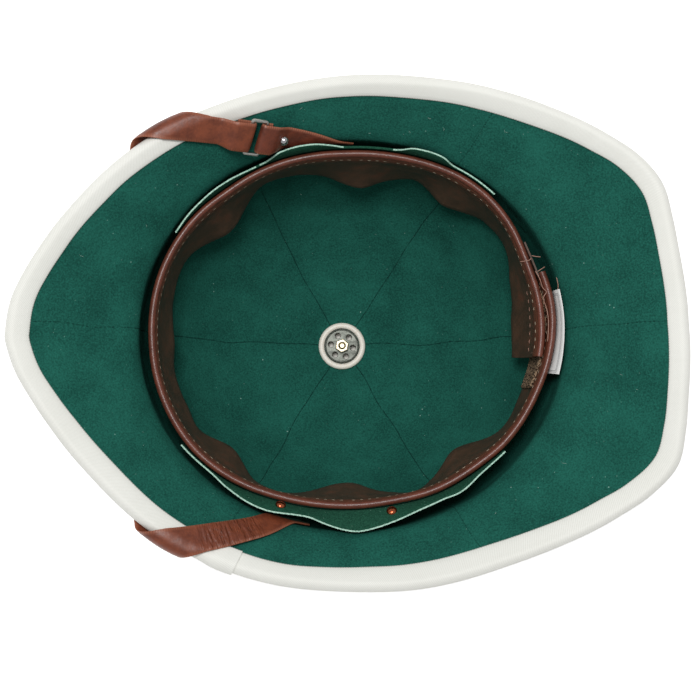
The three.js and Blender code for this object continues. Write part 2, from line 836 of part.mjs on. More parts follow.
// Domed head of a stud or rivet, its flat back at its own origin and its dome along +Z
function dome(radius, height) {
  const profile = [
    [0, 0],
    [radius, 0],
    [0.92 * radius, 0.5 * height],
    [0.55 * radius, 0.87 * height],
    [0, height],
  ];
  const turned = new THREE.LatheGeometry(
    profile.map(([r, z]) => new THREE.Vector2(r, z)),
    studCount,
  );
  turned.rotateX(Math.PI / 2);
  return turned;
}
const upward = new THREE.Vector3(0, 0, 1);
function place(mesh, position, direction) {
  mesh.position.copy(position);
  mesh.quaternion.setFromUnitVectors(upward, direction);
}

// Stud on the tab, where it rises to the slide
const [studBefore, studRow, studAfter] = foldedTab.slice(tabRails.length, tabRails.length + 3);
const studAlong = middleOf(studAfter).sub(middleOf(studBefore));
const studAcross = studRow[studRow.length - 1].clone().sub(studRow[0]);
const studUp = new THREE.Vector3().crossVectors(studAlong, studAcross).normalize();
studUp.multiplyScalar(Math.sign(studUp.z));
const tabStud = piece("strap_stud", dome(studRadius, studHeight), 0xd8d8d8, 0.15, 1);
place(tabStud, middleOf(studRow).addScaledVector(studUp, strapThickness / 2 + drapeGap), studUp);

// Two copper rivets on the leaning face of the right strip
for (const [name, degrees] of [["rivet_front", rivetFrontAt], ["rivet_rear", rivetRearAt]]) {
  const lean = readTable(rightStripWave, "at", "lean", degrees);
  const foot = betweenBandAndWall(degrees, 0, 0, 0);
  const edge = betweenBandAndWall(degrees, lean, stripRise, 0);
  const beside = betweenBandAndWall(degrees + 1, 0, 0, 0).sub(foot);
  const normal = new THREE.Vector3().crossVectors(beside, edge.clone().sub(foot)).normalize();
  if (normal.z < 0) normal.negate();
  const middle = foot.lerp(edge, rivetShare).addScaledVector(normal, drapeGap);
  place(piece(name, dome(rivetRadius, rivetHeight), 0xb4623c, 0.25, 1), middle, normal);
}

// Ventilator, seen inside the crown: ring, drilled plate and nut
const ventFace = crownLevel + gap;
function round(Kind, x, y, radius, count) {
  const corners = Array.from({ length: count }, (_, i) => {
    const angle = (i * fullTurn) / count;
    return new THREE.Vector2(x + radius * Math.cos(angle), y + radius * Math.sin(angle));
  });
  return new Kind(corners);
}
function disc(outline, holes, height, base) {
  outline.holes.push(...holes);
  const geometry = new THREE.ExtrudeGeometry(outline, { depth: height, bevelEnabled: false });
  geometry.translate(0, 0, base);
  return geometry;
}
const ringInner = ventRingRadius - ventRingWidth;
const ringOutline = round(THREE.Shape, 0, 0, ventRingRadius, roundCount);
const ringHole = round(THREE.Path, 0, 0, ringInner, roundCount);
piece("vent_ring", disc(ringOutline, [ringHole], ventRingHeight, ventFace), 0xf0e8da, 0.4);
const plateOutline = round(THREE.Shape, 0, 0, ringInner - gap, roundCount);
const postHole = () => round(THREE.Path, 0, 0, postRadius + gap, studCount);
const airHoles = Array.from({ length: airHoleCount }, (_, i) => {
  const angle = radians(airHoleStart) + (i * fullTurn) / airHoleCount;
  const x = airHoleCircle * Math.cos(angle);
  const y = airHoleCircle * Math.sin(angle);
  return round(THREE.Path, x, y, airHoleRadius, holeCount);
});
const plate = disc(plateOutline, [postHole(), ...airHoles], ventPlateThickness, ventFace);
piece("vent_plate", plate, 0x969b94, 0.4, 1);
const nutFace = ventFace + ventPlateThickness + gap;
const nutOutline = round(THREE.Shape, 0, 0, nutAcrossFlats / Math.sqrt(3), 6);
piece("vent_nut", disc(nutOutline, [postHole()], nutHeight, nutFace), 0xd9cfae, 0.35, 1);

// Ventilator cap outside the crown, with the post that carries it, in one plain piece
const postTop = nutFace + nutHeight + postEnd;
const capProfile = [
  [0, 0],
  [capFlatRadius, 0],
  [0.9 * capRadius, 0.12 * capHeight],
  [capRadius, 0.4 * capHeight],
  [capRadius, 0.75 * capHeight],
  [0.85 * capRadius, capHeight],
  [postRadius, capHeight],
  [postRadius, postTop],
  [0, postTop],
];
const capTurned = new THREE.LatheGeometry(
  capProfile.map(([r, z]) => new THREE.Vector2(r, z)),
  roundCount,
);
capTurned.rotateX(Math.PI / 2);
piece("vent_cap", capTurned, 0xe9e6df, 0.8);

// Turned and extruded pieces are welded, so that each is one closed surface
for (const mesh of helmet.children) {
  mesh.geometry.deleteAttribute("normal");
  mesh.geometry.deleteAttribute("uv");
  mesh.geometry = mergeVertices(mesh.geometry, 1e-4);
  mesh.geometry.computeVertexNormals();
}

export default helmet;
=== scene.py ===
import math
import random

import bmesh
import bpy
from mathutils import Matrix, Vector, noise


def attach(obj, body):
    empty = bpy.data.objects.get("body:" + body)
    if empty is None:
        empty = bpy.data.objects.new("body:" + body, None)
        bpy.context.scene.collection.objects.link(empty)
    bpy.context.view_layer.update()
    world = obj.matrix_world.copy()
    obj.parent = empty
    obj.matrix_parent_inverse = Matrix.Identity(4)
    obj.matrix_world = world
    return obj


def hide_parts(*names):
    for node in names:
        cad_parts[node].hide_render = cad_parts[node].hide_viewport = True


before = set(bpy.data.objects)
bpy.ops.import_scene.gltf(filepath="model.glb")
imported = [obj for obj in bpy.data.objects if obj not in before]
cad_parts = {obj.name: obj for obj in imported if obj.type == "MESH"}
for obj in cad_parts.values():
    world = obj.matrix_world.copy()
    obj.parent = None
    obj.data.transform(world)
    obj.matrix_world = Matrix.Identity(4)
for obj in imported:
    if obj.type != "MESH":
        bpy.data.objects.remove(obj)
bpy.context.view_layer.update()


# The shell. Pressed pith in one piece, crown and brim together, with white cotton twill glued
# over it in six gores. Their seams run from the ventilator to the rim. All sizes are millimetres.
FRONT_REACH, REAR_REACH, HALF_WIDTH = 172.4, 170.5, 132
FRONT_LIFT, REAR_LIFT, SIDE_LIFT = 40, 45, 26
CROWN_DEPTH, CROWN_FULLNESS = 106.8, 2.3
OPENING_HALF_LENGTH, OPENING_HALF_WIDTH, OPENING_SHIFT = 112, 103, 3
SHELL_WALL, LINING_THICKNESS, GAP = 4, 1, 0.3
BINDING_THICKNESS = 1
THROAT_HOLD, BRIM_HOLD = 0.26, 0.4
CAP_HEIGHT = 12
VENT_HOLE, VENT_SEAT = 8.6, 16
LINED_WALL = LINING_THICKNESS + GAP + SHELL_WALL
CROWN_LEVEL = CAP_HEIGHT + GAP + LINED_WALL
OPENING_LEVEL = CROWN_LEVEL + CROWN_DEPTH
SIDE_SLOPE, END_SLOPE = math.radians(38), math.radians(30)

# A millimetre in the metres of the scene
MM = 0.001

# Half outline of the brim: share of the reach to the rear (or front), share of the half width
BRIM_OUTLINE = [
    (1, 0), (0.988, 0.271), (0.973, 0.41), (0.947, 0.545), (0.878, 0.655), (0.785, 0.737),
    (0.597, 0.856), (0.419, 0.936), (0.164, 0.998), (-0.08, 0.991), (-0.316, 0.926),
    (-0.545, 0.79), (-0.748, 0.564), (-0.872, 0.37), (-0.929, 0.258), (-0.977, 0.134), (-1, 0),
]

# How far the pressed rim stands out of true, and the uneven width of the binding, by the angle
# from the rear in degrees
RIM_WAVE = [
    (0, 2.1), (10, 1), (25, 0.8), (40, 2.3), (57, 3.1), (72, 1.9), (90, 1.9), (110, 0.8),
    (120, 0.8), (135, 2), (148, 3.3), (170, 3.5), (180, 2.1), (190, 0), (205, 0.4), (220, 1.5),
    (235, 2.3), (252, 2.8), (270, 1.7), (285, 1.9), (302, 0.8), (320, 1.2), (330, 2), (338, 4.1),
    (350, 3), (360, 2.1),
]
BINDING_WAVE = [
    (0, 8.2), (15, 8.2), (47, 10.7), (70, 9.3), (97, 8), (125, 8.5), (160, 9.2), (185, 10),
    (203, 11.2), (225, 10.3), (250, 8.9), (268, 10), (285, 11.4), (305, 11.7), (325, 11.2),
    (345, 8.5), (360, 8.2),
]
GORE_SEAMS = [0.3, 55, 117, 177, 237.5, 300]
SEAM_WANDER, SOFT_WAVE, FINE_WAVE = 2.2, 26, 9
GORE_STEPS = 40
CROWN_STEPS, BRIM_STEPS, RIM_STEPS = 30, 22, 4
BRIM_RUN, SEAM_STITCH = 172, 2.4


def lerp(start, end, share):
    return start + (end - start) * share


def smooth(share):
    share = min(1, max(0, share))
    return share * share * (3 - 2 * share)


def run_along(points):
    """Distance from the first point to each of the points, measured along them."""
    runs = [0.0]
    for here, there in zip(points, points[1:]):
        runs.append(runs[-1] + (there - here).length)
    return runs


def full_turn(sides, start=0.0):
    return [start + 2 * math.pi * k / sides for k in range(sides)]


def read_table(rows, place):
    """Smooth curve through rows of (place, value), read off at one place."""
    last = len(rows) - 1
    i = 0
    while i < last - 1 and rows[i + 1][0] < place:
        i += 1

    def slope(k):
        before, after = rows[max(0, k - 1)], rows[min(last, k + 1)]
        return (after[1] - before[1]) / (after[0] - before[0])

    span, rise = rows[i + 1][0] - rows[i][0], rows[i + 1][1] - rows[i][1]
    t = min(1, max(0, (place - rows[i][0]) / span))
    bend = t * (1 - t) * span
    return rows[i][1] + rise * smooth(t) + bend * (slope(i) * (1 - t) - slope(i + 1) * t)


outline_by_angle = []
for along, across in BRIM_OUTLINE:
    edge = Vector((along * (FRONT_REACH if along < 0 else REAR_REACH), across * HALF_WIDTH))
    outline_by_angle.append((math.atan2(edge.y, edge.x), edge.length))


def rim_radius(angle):
    side = abs(math.atan2(math.sin(angle), math.cos(angle)))
    return read_table(outline_by_angle, side) + read_table(RIM_WAVE, math.degrees(angle) % 360)


def binding_width(angle):
    return read_table(BINDING_WAVE, math.degrees(angle) % 360)


def opening_radius(angle):
    """Radius of the oval head opening, whose middle lies a little to the rear."""
    c, s = math.cos(angle) / OPENING_HALF_LENGTH, math.sin(angle) / OPENING_HALF_WIDTH
    shift = OPENING_SHIFT / OPENING_HALF_LENGTH
    square = c * c + s * s
    return (c * shift + math.sqrt((c * shift) ** 2 - square * (shift * shift - 1))) / square


def section_line(angle):
    """The lining's visible face at an angle, as (radius, height) from the ventilator to the rim."""
    opening = opening_radius(angle)
    power = 2 / CROWN_FULLNESS
    line = [Vector((VENT_HOLE, CROWN_LEVEL)), Vector((VENT_SEAT, CROWN_LEVEL))]
    seat_turn = math.asin((VENT_SEAT / opening) ** (1 / power))
    seat_rise = CROWN_DEPTH * (1 - math.cos(seat_turn) ** power)
    for step in range(1, CROWN_STEPS + 1):
        turn = lerp(seat_turn, math.pi / 2, step / CROWN_STEPS)
        radius = opening * math.sin(turn) ** power
        height = OPENING_LEVEL - CROWN_DEPTH * max(0, math.cos(turn)) ** power
        line.append(Vector((radius, height - seat_rise * (1 - smooth((radius - VENT_SEAT) / 18)))))
    slope = lerp(SIDE_SLOPE, END_SLOPE, math.cos(angle) ** 2)
    run = Vector((math.cos(slope), math.sin(slope)))
    thick = LINED_WALL + GAP + BINDING_THICKNESS
    lift = lerp(SIDE_LIFT, FRONT_LIFT if math.cos(angle) < 0 else REAR_LIFT, math.cos(angle) ** 2)
    rim_edge = rim_radius(angle) - thick * run.y - (GAP + BINDING_THICKNESS) * run.x
    rim = Vector((rim_edge, OPENING_LEVEL + lift))
    end = rim - (binding_width(angle) + GAP) * run
    reach, rise = end.x - opening, end.y - OPENING_LEVEL
    start = Vector((opening, OPENING_LEVEL))
    leave = start + Vector((0, THROAT_HOLD * rise))
    arrive = end - BRIM_HOLD * reach * Vector((1, math.tan(slope)))
    for step in range(1, BRIM_STEPS + 1):
        t = step / BRIM_STEPS
        u = 1 - t
        line.append(u**3 * start + 3 * u * u * t * leave + 3 * u * t * t * arrive + t**3 * end)
    return line + [end.lerp(rim, step / RIM_STEPS) for step in range(1, RIM_STEPS + 1)]


def offset_line(line, offset):
    """The same line moved sideways: positive is through the wall to the outside of the helmet."""
    normals = []
    for here, there in zip(line, line[1:]):
        run = (there - here).normalized()
        normals.append(Vector((run.y, -run.x)))
    moved = []
    for i, point in enumerate(line):
        before, after = normals[max(0, i - 1)], normals[min(len(normals) - 1, i)]
        moved.append(point + (before + after) * offset / (1 + before.dot(after)))
    return moved


def on_section(angle, point):
    return Vector((point[0] * math.cos(angle), point[0] * math.sin(angle), point[1]))


def srgb(red, green, blue):
    """Shader colour from the 0 to 255 values that a picture shows."""
    parts = [part / 255 for part in (red, green, blue)]
    return (*[p / 12.92 if p < 0.04045 else ((p + 0.055) / 1.055) ** 2.4 for p in parts], 1)


class Value:
    """A shader socket that does sums, so that the maths of a finish reads as written."""

    def __init__(self, finish, socket):
        self.finish, self.socket = finish, socket

    def sum(self, operation, *values):
        return self.finish.node("Math", {"operation": operation}, dict(enumerate(values)))

    def __add__(self, other):
        return self.sum("ADD", self, other)

    def __sub__(self, other):
        return self.sum("SUBTRACT", self, other)

    def __rsub__(self, other):
        return self.sum("SUBTRACT", other, self)

    def __mul__(self, other):
        return self.sum("MULTIPLY", self, other)

    __radd__, __rmul__ = __add__, __mul__

    def size(self):
        return self.sum("ABSOLUTE", self)

    def greater(self, other):
        return self.sum("MAXIMUM", self, other)

    def ridges(self, pitch):
        """0 to 1 and back over each pitch."""
        return self.sum("SINE", self * (2 * math.pi / pitch)) * 0.5 + 0.5

    def step(self, low, high):
        """0 below low and 1 above high, softly; the other way round where low is the greater."""
        sockets = {0: self, 1: low, 2: high, 3: 0.0, 4: 1.0}
        return self.finish.node("MapRange", {"interpolation_type": "SMOOTHSTEP"}, sockets)


class Finish:
    """A material being made. One method adds every node that isn't plain maths."""

    def __init__(self, name, **uniform):
        self.material = bpy.data.materials.new(name)
        self.material.use_nodes = True
        self.tree = self.material.node_tree
        self.shader = self.tree.nodes["Principled BSDF"]
        for socket, value in uniform.items():
            self.shader.inputs[socket.replace("_", " ")].default_value = value

    def node(self, kind, settings=None, sockets=None, output=0):
        made = self.tree.nodes.new("ShaderNode" + kind)
        for setting, value in (settings or {}).items():
            setattr(made, setting, value)
        for socket, value in (sockets or {}).items():
            if isinstance(value, Value):
                self.tree.links.new(value.socket, made.inputs[socket])
            else:
                made.inputs[socket].default_value = value
        return Value(self, made.outputs[output])

    def place(self, kind="Object", scale=(1000, 1000, 1000)):
        """Coordinates in millimetres, on the object or, for UV, along and across its cloth."""
        spot = self.node("TexCoord", output=kind)
        return self.node("VectorMath", {"operation": "MULTIPLY"}, {0: spot, 1: scale})

    def along_across(self, kind="UV"):
        spot = self.place(kind)
        return [self.node("SeparateXYZ", sockets={0: spot}, output=axis) for axis in (0, 1)]

    def attribute(self, name):
        return self.node("Attribute", {"attribute_name": name}, output="Fac")

    def grain(self, size, detail=2.0, place=None, rough=0.5):
        """Noise from 0 to 1 whose spots are about size millimetres across."""
        sockets = {"Vector": place or self.place(), "Scale": 1 / size, "Detail": detail}
        return self.node("TexNoise", None, {**sockets, "Roughness": rough})

    def specks(self, spacing, radius, share):
        """Mask of spots of a radius, at random places a spacing apart, in a share of them."""
        sockets = {"Vector": self.place(), "Scale": 1 / spacing, "Randomness": 1.0}
        near = self.node("TexVoronoi", None, sockets)
        chance = self.node("TexVoronoi", None, sockets, output="Color")
        picked = self.node("SeparateXYZ", sockets={0: chance})
        spot = near.step(radius / spacing, 0.5 * radius / spacing)
        return spot * picked.step(1 - share, 1 - share + 0.02)

    def mix(self, share, first, second):
        settings = {"data_type": "RGBA", "clamp_factor": True}
        return self.node("Mix", settings, {0: share, 6: first, 7: second}, output=2)

    def bump(self, height):
        """Normal from a height in millimetres."""
        return self.node("Bump", None, {"Height": height, "Distance": MM})

    def surface(self, **linked):
        for socket, value in linked.items():
            self.tree.links.new(value.socket, self.shader.inputs[socket.replace("_", " ")])
        return self.material


def outward(mesh, weld=None):
    """Turns the faces of a mesh outwards, after welding points closer than a distance."""
    shape = bmesh.new()
    shape.from_mesh(mesh)
    if weld:
        bmesh.ops.remove_doubles(shape, verts=shape.verts, dist=weld)
    bmesh.ops.recalc_face_normals(shape, faces=shape.faces)
    shape.to_mesh(mesh)
    shape.free()


def make_piece(name, points, faces, finishes, nodes=(), uv=None, kinds=None, sharp=35):
    """One piece of the helmet from points in millimetres. It rides on the body, takes the finish
    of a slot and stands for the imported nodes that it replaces. uv gives a place per face corner."""
    mesh = bpy.data.meshes.new(name)
    mesh.from_pydata([point * MM for point in points], [], faces)
    if uv:
        layer = mesh.uv_layers.new(name="cloth")
        layer.data.foreach_set("uv", [part * MM for spot in uv for part in spot])
    if kinds:
        mesh.polygons.foreach_set("material_index", kinds)
    outward(mesh)
    mesh.polygons.foreach_set("use_smooth", [True] * len(mesh.polygons))
    mesh.set_sharp_from_angle(angle=math.radians(sharp))
    for finish in finishes:
        mesh.materials.append(finish)
    made = bpy.data.objects.new(name, mesh)
    bpy.context.scene.collection.objects.link(made)
    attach(made, "root")
    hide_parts(*nodes)
    return made


def loft(name, rings, finishes, nodes=(), closed=False, kind=None, uv=None, sharp=35):
    """Solid through closed rings of points. kind gives a face's finish from its ring and its place
    in the ring, and uv a corner's place on the cloth from the same two and the face's own ring."""
    count, size = len(rings), len(rings[0])
    spans = count if closed else count - 1
    faces, spots, kinds = [], [], []
    lengths = run_along([ring[0] for ring in rings + rings[:1]])
    girth = run_along(rings[0] + rings[0][:1])
    uv = uv or (lambda i, j, own: (lengths[i], girth[j]))
    for i in range(spans):
        for j in range(size):
            corners = [(i, j), (i + 1, j), (i + 1, j + 1), (i, j + 1)]
            faces.append([(a % count) * size + b % size for a, b in corners])
            spots += [uv(a, b, i) for a, b in corners]
            kinds.append(kind(i, j) if kind else 0)
    if not closed:
        for i in (0, count - 1):
            faces.append([i * size + j for j in range(size)])
            spots += [uv(i, j, min(i, spans - 1)) for j in range(size)]
            kinds.append(kind(i, 0) if kind else 0)
    points = [point for ring in rings for point in ring]
    return make_piece(name, points, faces, finishes, nodes, spots, kinds, sharp)


def gored_cloth(name, visible, hidden, finish, node):
    """Cloth or shell between two offsets of the section, a little uneven on its visible side. Each
    gore has its own weave, and the seam attribute is the distance to its nearest seam."""
    rings, seams, runs = [], [], []
    bounds = GORE_SEAMS + [GORE_SEAMS[0] + 360]
    outside = 1 if visible > hidden else -1
    middle = Vector((0, 0, OPENING_LEVEL))
    for gore, (start, end) in enumerate(zip(bounds, bounds[1:])):
        for step in range(GORE_STEPS):
            angle = math.radians(lerp(start, end, step / GORE_STEPS))
            ring, aside = [], []
            from_seam = min(step, GORE_STEPS - step) / GORE_STEPS
            seam = (gore + (step > GORE_STEPS / 2)) % len(GORE_SEAMS)
            shown = offset_line(section_line(angle), visible)
            runs = runs or run_along(shown)
            for row, (point, run) in enumerate(zip(shown, run_along(shown))):
                wander = SEAM_WANDER * noise.noise((run / SOFT_WAVE, 9.7 * seam, 0))
                wander *= 1 - smooth(3 * from_seam)
                spot = on_section(angle + wander / max(point.x, 12), point)
                if 1 < row < len(shown) - RIM_STEPS - 1:
                    ripple = 0.25 + 0.3 * noise.noise(spot / SOFT_WAVE)
                    ripple += 0.12 * noise.noise(spot / FINE_WAVE)
                    spot += (spot - middle).normalized() * outside * ripple
                ring.append(spot)
                aside.append(math.radians(from_seam * (end - start)) * point.x)
            back = [on_section(angle, point) for point in offset_line(section_line(angle), hidden)]
            rings.append(ring + back[::-1])
            seams += aside + aside[::-1]
    rows = len(ring)
    size = 2 * rows

    def cloth_place(i, j, own):
        gore = own // GORE_STEPS
        row = j if j < rows else size - 1 - min(j, size - 1)
        share = (i - gore * GORE_STEPS) / GORE_STEPS - 0.5
        width = math.radians(bounds[gore + 1] - bounds[gore])
        point = rings[i % len(rings)][row]
        return (share * width * math.hypot(point.x, point.y), runs[row])

    made = loft(name, rings, [finish], [node], closed=True, uv=cloth_place)
    made.data.attributes.new("seam", "FLOAT", "POINT").data.foreach_set("value", seams)


def sewn_cloth(name, cloth, dark, seam_dark, weave, lint=None):
    """Cotton with a fine weave and a pressed seam between gores, overcast with small stitches."""
    finish = Finish(name, Roughness=0.95, Specular_IOR_Level=0.06)
    along, across = finish.along_across()
    seam = finish.attribute("seam")
    mottle = finish.grain(0.9, 3.0, rough=0.7)
    patches = finish.grain(22, 2.0)
    threads = (along.ridges(weave) + across.ridges(weave)) * 0.5
    tone = (mottle - 0.5) * 1.3 + (patches - 0.5) * 0.5 + 0.5
    colour = finish.mix(tone.step(0.15, 0.85), dark, cloth)
    broken = finish.grain(3.0, 2.0).step(0.3, 0.6)
    groove = seam.step(0.42, 0.05)
    on_brim = across.step(BRIM_RUN, BRIM_RUN + 6)
    dashes = across.ridges(SEAM_STITCH).step(0.3, 0.6)
    line = (broken * 0.4 + 0.3) * (1 - on_brim) + on_brim * dashes * (broken * 0.5 + 0.1)
    colour = finish.mix(groove * line, colour, seam_dark)
    if lint:
        fluff = finish.specks(6.5, 0.42, 0.45).greater(finish.specks(3.1, 0.22, 0.5))
        strength = finish.grain(14).step(0.4, 0.65) * 0.7 + 0.12
        colour = finish.mix(fluff * strength, colour, lint)
    pressed = seam.step(0.0, 5.0) * 0.12
    height = pressed - groove * 0.2 + threads * 0.02 + mottle * 0.07 + finish.grain(13, 1.5) * 1.1
    return finish.surface(Base_Color=colour, Normal=finish.bump(height))


cover_cloth = sewn_cloth(
    "cover_cotton", srgb(242, 241, 235), srgb(230, 228, 221), srgb(170, 167, 158), 0.55
)
gored_cloth("pith_shell", LINED_WALL, LINING_THICKNESS + GAP, cover_cloth, "shell")


# The lining. Dark green cotton glued inside the pith in six gores of its own, under the same
# seams, and carried out under the binding. It picks up pale lint, and a few fibres lie on it.
LINT_COUNT, LINT_RADIUS, LINT_LIFT, LINT_STEPS = 16, 0.06, 0.45, 6
lining_cloth = sewn_cloth(
    "lining_cotton", srgb(38, 106, 92), srgb(21, 68, 59), srgb(8, 34, 30), 0.6, srgb(160, 200, 188)
)
gored_cloth("green_lining", 0, LINING_THICKNESS, lining_cloth, "lining")


def mottled(name, dark, light, size, detail=2.0, *, grain=0.5, scale=None, step=None,
            rough=None, relief=None, **uniform):
    """Finish of two colours in spots of a size, with step as the limits between the colours. The
    spots may be stretched by scale, change the roughness by (least, spread) and stand in relief."""
    finish = Finish(name, **uniform)
    spots = finish.grain(size, detail, finish.place(scale=scale) if scale else None, grain)
    share = spots.step(*step) if step else spots
    looks = {"Base_Color": finish.mix(share, srgb(*dark), srgb(*light))}
    if rough:
        looks["Roughness"] = spots * rough[1] + rough[0]
    if relief:
        looks["Normal"] = finish.bump(spots * relief)
    return finish.surface(**looks)


def tube_rings(path, radius, sides):
    """Rings round a path of points, tapering to small ends."""
    rings = []
    for i, point in enumerate(path):
        before, after = path[max(0, i - 1)], path[min(len(path) - 1, i + 1)]
        along = (after - before).normalized()
        side = along.cross(Vector((0.13, 0.21, 1))).normalized()
        other = along.cross(side)
        width = radius * (0.45 if i in (0, len(path) - 1) else 1)
        rings.append([
            point + width * (math.cos(turn) * side + math.sin(turn) * other)
            for turn in full_turn(sides)
        ])
    return rings


def threads_piece(name, paths, radius, finish, sides=6):
    """Many short lengths of thread in one piece."""
    points, faces = [], []
    for path in paths:
        rings = tube_rings(path, radius, sides)
        base = len(points)
        points += [point for ring in rings for point in ring]
        for i in range(len(rings) - 1):
            for j in range(sides):
                there = (j + 1) % sides
                corners = [(i, j), (i + 1, j), (i + 1, there), (i, there)]
                faces.append([base + ring * sides + side for ring, side in corners])
        last = base + (len(rings) - 1) * sides
        faces += [[base + j for j in range(sides)], [last + j for j in range(sides)]]
    make_piece(name, points, faces, [finish], sharp=70)


def lining_point(angle, share, lift):
    """Point over the lining, share of the way from the ventilator to the rim."""
    line = offset_line(section_line(angle), -lift)
    place = lerp(4, len(line) - RIM_STEPS - 2, share)
    low = int(place)
    return on_section(angle, line[low].lerp(line[low + 1], place - low))


lint = mottled("lint", (190, 210, 200), (120, 165, 152), 1.5, Roughness=0.95)
chance = random.Random(11)
fibres = []
for _ in range(LINT_COUNT):
    angle, share = chance.uniform(0, 2 * math.pi), chance.choice([0.25, 0.5, 0.8, 0.86, 0.92])
    share += chance.uniform(-0.1, 0.06)
    turn, curl, pace = chance.uniform(0, 6.3), chance.uniform(-0.5, 0.5), chance.uniform(0.25, 0.6)
    spot = lining_point(angle, share, LINT_LIFT)
    sideways = (lining_point(angle + 0.01, share, LINT_LIFT) - spot).normalized()
    downwards = (lining_point(angle, share + 0.01, LINT_LIFT) - spot).normalized()
    fibre = []
    for _ in range(LINT_STEPS):
        fibre.append(spot.copy())
        spot += pace * (math.cos(turn) * sideways + math.sin(turn) * downwards)
        turn += curl
    fibres.append(fibre)
threads_piece("lining_lint", fibres, LINT_RADIUS, lint, sides=5)


# The ventilator. A cream enamelled ring holds a drilled plate on the inside of the crown, and a
# nut draws both against the cloth-covered cap outside. Its bolt ends in the middle of the nut.
CAP_RADIUS, CAP_FLAT_RADIUS = 20, 15
RING_RADIUS, RING_WIDTH, RING_HEIGHT = 13.5, 3.3, 1.8
PLATE_THICKNESS, PLATE_EDGE = 1, 0.22
AIR_HOLES, AIR_HOLE_RADIUS, AIR_HOLE_CIRCLE, AIR_HOLE_START = 6, 1.65, 6.4, 50
POST_RADIUS, POST_END, THREAD_DEPTH = 1.6, 1, 0.14
NUT_ACROSS_FLATS, NUT_HEIGHT, NUT_EDGE, NUT_TURN = 7, 3, 0.45, 0.35
VENT_FACE = CROWN_LEVEL + GAP
NUT_FACE = VENT_FACE + PLATE_THICKNESS + GAP


def turned_piece(name, profile, finishes, nodes=(), sides=72, kind=None):
    """Piece turned about the ventilator's axis from a closed profile of (radius, height)."""
    rings = [[on_section(turn, spot) for spot in profile] for turn in full_turn(sides)]
    loft(name, rings, finishes, nodes, closed=True, kind=kind)


def circle(radius, sides, x=0.0, y=0.0, start=0.0):
    turns = full_turn(sides, start)
    return [(x + radius * math.cos(turn), y + radius * math.sin(turn)) for turn in turns]


def punched_piece(name, outlines, base, thickness, edge, finish, node):
    """Flat piece with rounded edges, cut out along its first outline and the holes after it."""
    drawing = bpy.data.curves.new(name, "CURVE")
    drawing.dimensions, drawing.fill_mode = "2D", "BOTH"
    drawing.extrude, drawing.bevel_depth = (thickness / 2 - edge) * MM, edge * MM
    drawing.offset, drawing.bevel_resolution = -edge * MM, 2
    for outline in outlines:
        spline = drawing.splines.new("POLY")
        spline.points.add(len(outline) - 1)
        for spot, (x, y) in zip(spline.points, outline):
            spot.co = (x * MM, y * MM, 0, 1)
        spline.use_cyclic_u = True
    drawn = bpy.data.objects.new(name, drawing)
    bpy.context.scene.collection.objects.link(drawn)
    bpy.context.view_layer.update()
    shaped = drawn.evaluated_get(bpy.context.evaluated_depsgraph_get())
    mesh = bpy.data.meshes.new_from_object(shaped)
    rise = Vector((0, 0, base + thickness / 2))
    points = [vertex.co / MM + rise for vertex in mesh.vertices]
    faces = [list(face.vertices) for face in mesh.polygons]
    bpy.data.objects.remove(drawn)
    made = make_piece(name, points, faces, [finish], [node])
    outward(made.data, weld=0.001 * MM)


enamel = Finish("cream_enamel", Specular_IOR_Level=0.5, Coat_Roughness=0.25)
chips = enamel.grain(0.8, 3.0)
enamel_colour = enamel.mix(chips.step(0.35, 0.7), srgb(242, 232, 216), srgb(252, 248, 240))
enamel.surface(
    Base_Color=enamel_colour,
    Roughness=chips * 0.25 + 0.3,
    Normal=enamel.bump(enamel.grain(2.5) * 0.05),
)
ring_inner = RING_RADIUS - RING_WIDTH
ring_profile = [
    (ring_inner, 0), (ring_inner, 0.75), (ring_inner + 0.35, 1.35), (ring_inner + 1, 1.72),
    (ring_inner + 1.7, RING_HEIGHT), (ring_inner + 2.4, 1.66), (ring_inner + 3, 1.2),
    (RING_RADIUS, 0.55), (RING_RADIUS, 0),
]
ring_profile = [(radius, VENT_FACE + height) for radius, height in ring_profile]
turned_piece(
    "ventilator_ring", ring_profile, [enamel.material], ["vent_ring"], sides=96
)

plate_metal = Finish("vent_plate_steel", Metallic=0.85)
wear = plate_metal.grain(1.1, 4.0)
scratches = plate_metal.grain(1.0, 2.0, plate_metal.place(scale=(3000, 260, 1000)))
plate_colour = plate_metal.mix(wear.step(0.3, 0.75), srgb(96, 99, 93), srgb(138, 141, 133))
plate_metal.surface(
    Base_Color=plate_colour,
    Roughness=wear * 0.3 + scratches * 0.15 + 0.28,
    Normal=plate_metal.bump(wear * 0.04 + scratches * 0.02),
)
air_holes = []
for x, y in circle(AIR_HOLE_CIRCLE, AIR_HOLES, start=math.radians(AIR_HOLE_START)):
    air_holes.append(circle(AIR_HOLE_RADIUS, 28, x, y))
plate_outlines = [circle(ring_inner - GAP, 72), circle(POST_RADIUS + GAP, 24), *air_holes]
punched_piece(
    "ventilator_plate", plate_outlines, VENT_FACE, PLATE_THICKNESS, PLATE_EDGE,
    plate_metal.material, "vent_plate",
)
lip = [(9.0, 1.0), (9.1, 1.3), (9.35, 1.42), (9.6, 1.3), (9.7, 1.0)]
lip = [(radius, VENT_FACE + height) for radius, height in lip]
turned_piece("ventilator_plate_lip", lip, [plate_metal.material])

brass = mottled(
    "nut_brass", (188, 176, 146), (226, 218, 196), 0.7, 3.0,
    step=(0.3, 0.7), rough=(0.25, 0.25), relief=0.03, Metallic=0.9,
)
nut_corner = NUT_ACROSS_FLATS / math.sqrt(3)
nut_outlines = [circle(nut_corner, 6, start=NUT_TURN), circle(POST_RADIUS + GAP, 24)]
punched_piece(
    "ventilator_nut", nut_outlines, NUT_FACE, NUT_HEIGHT, NUT_EDGE, brass, "vent_nut"
)

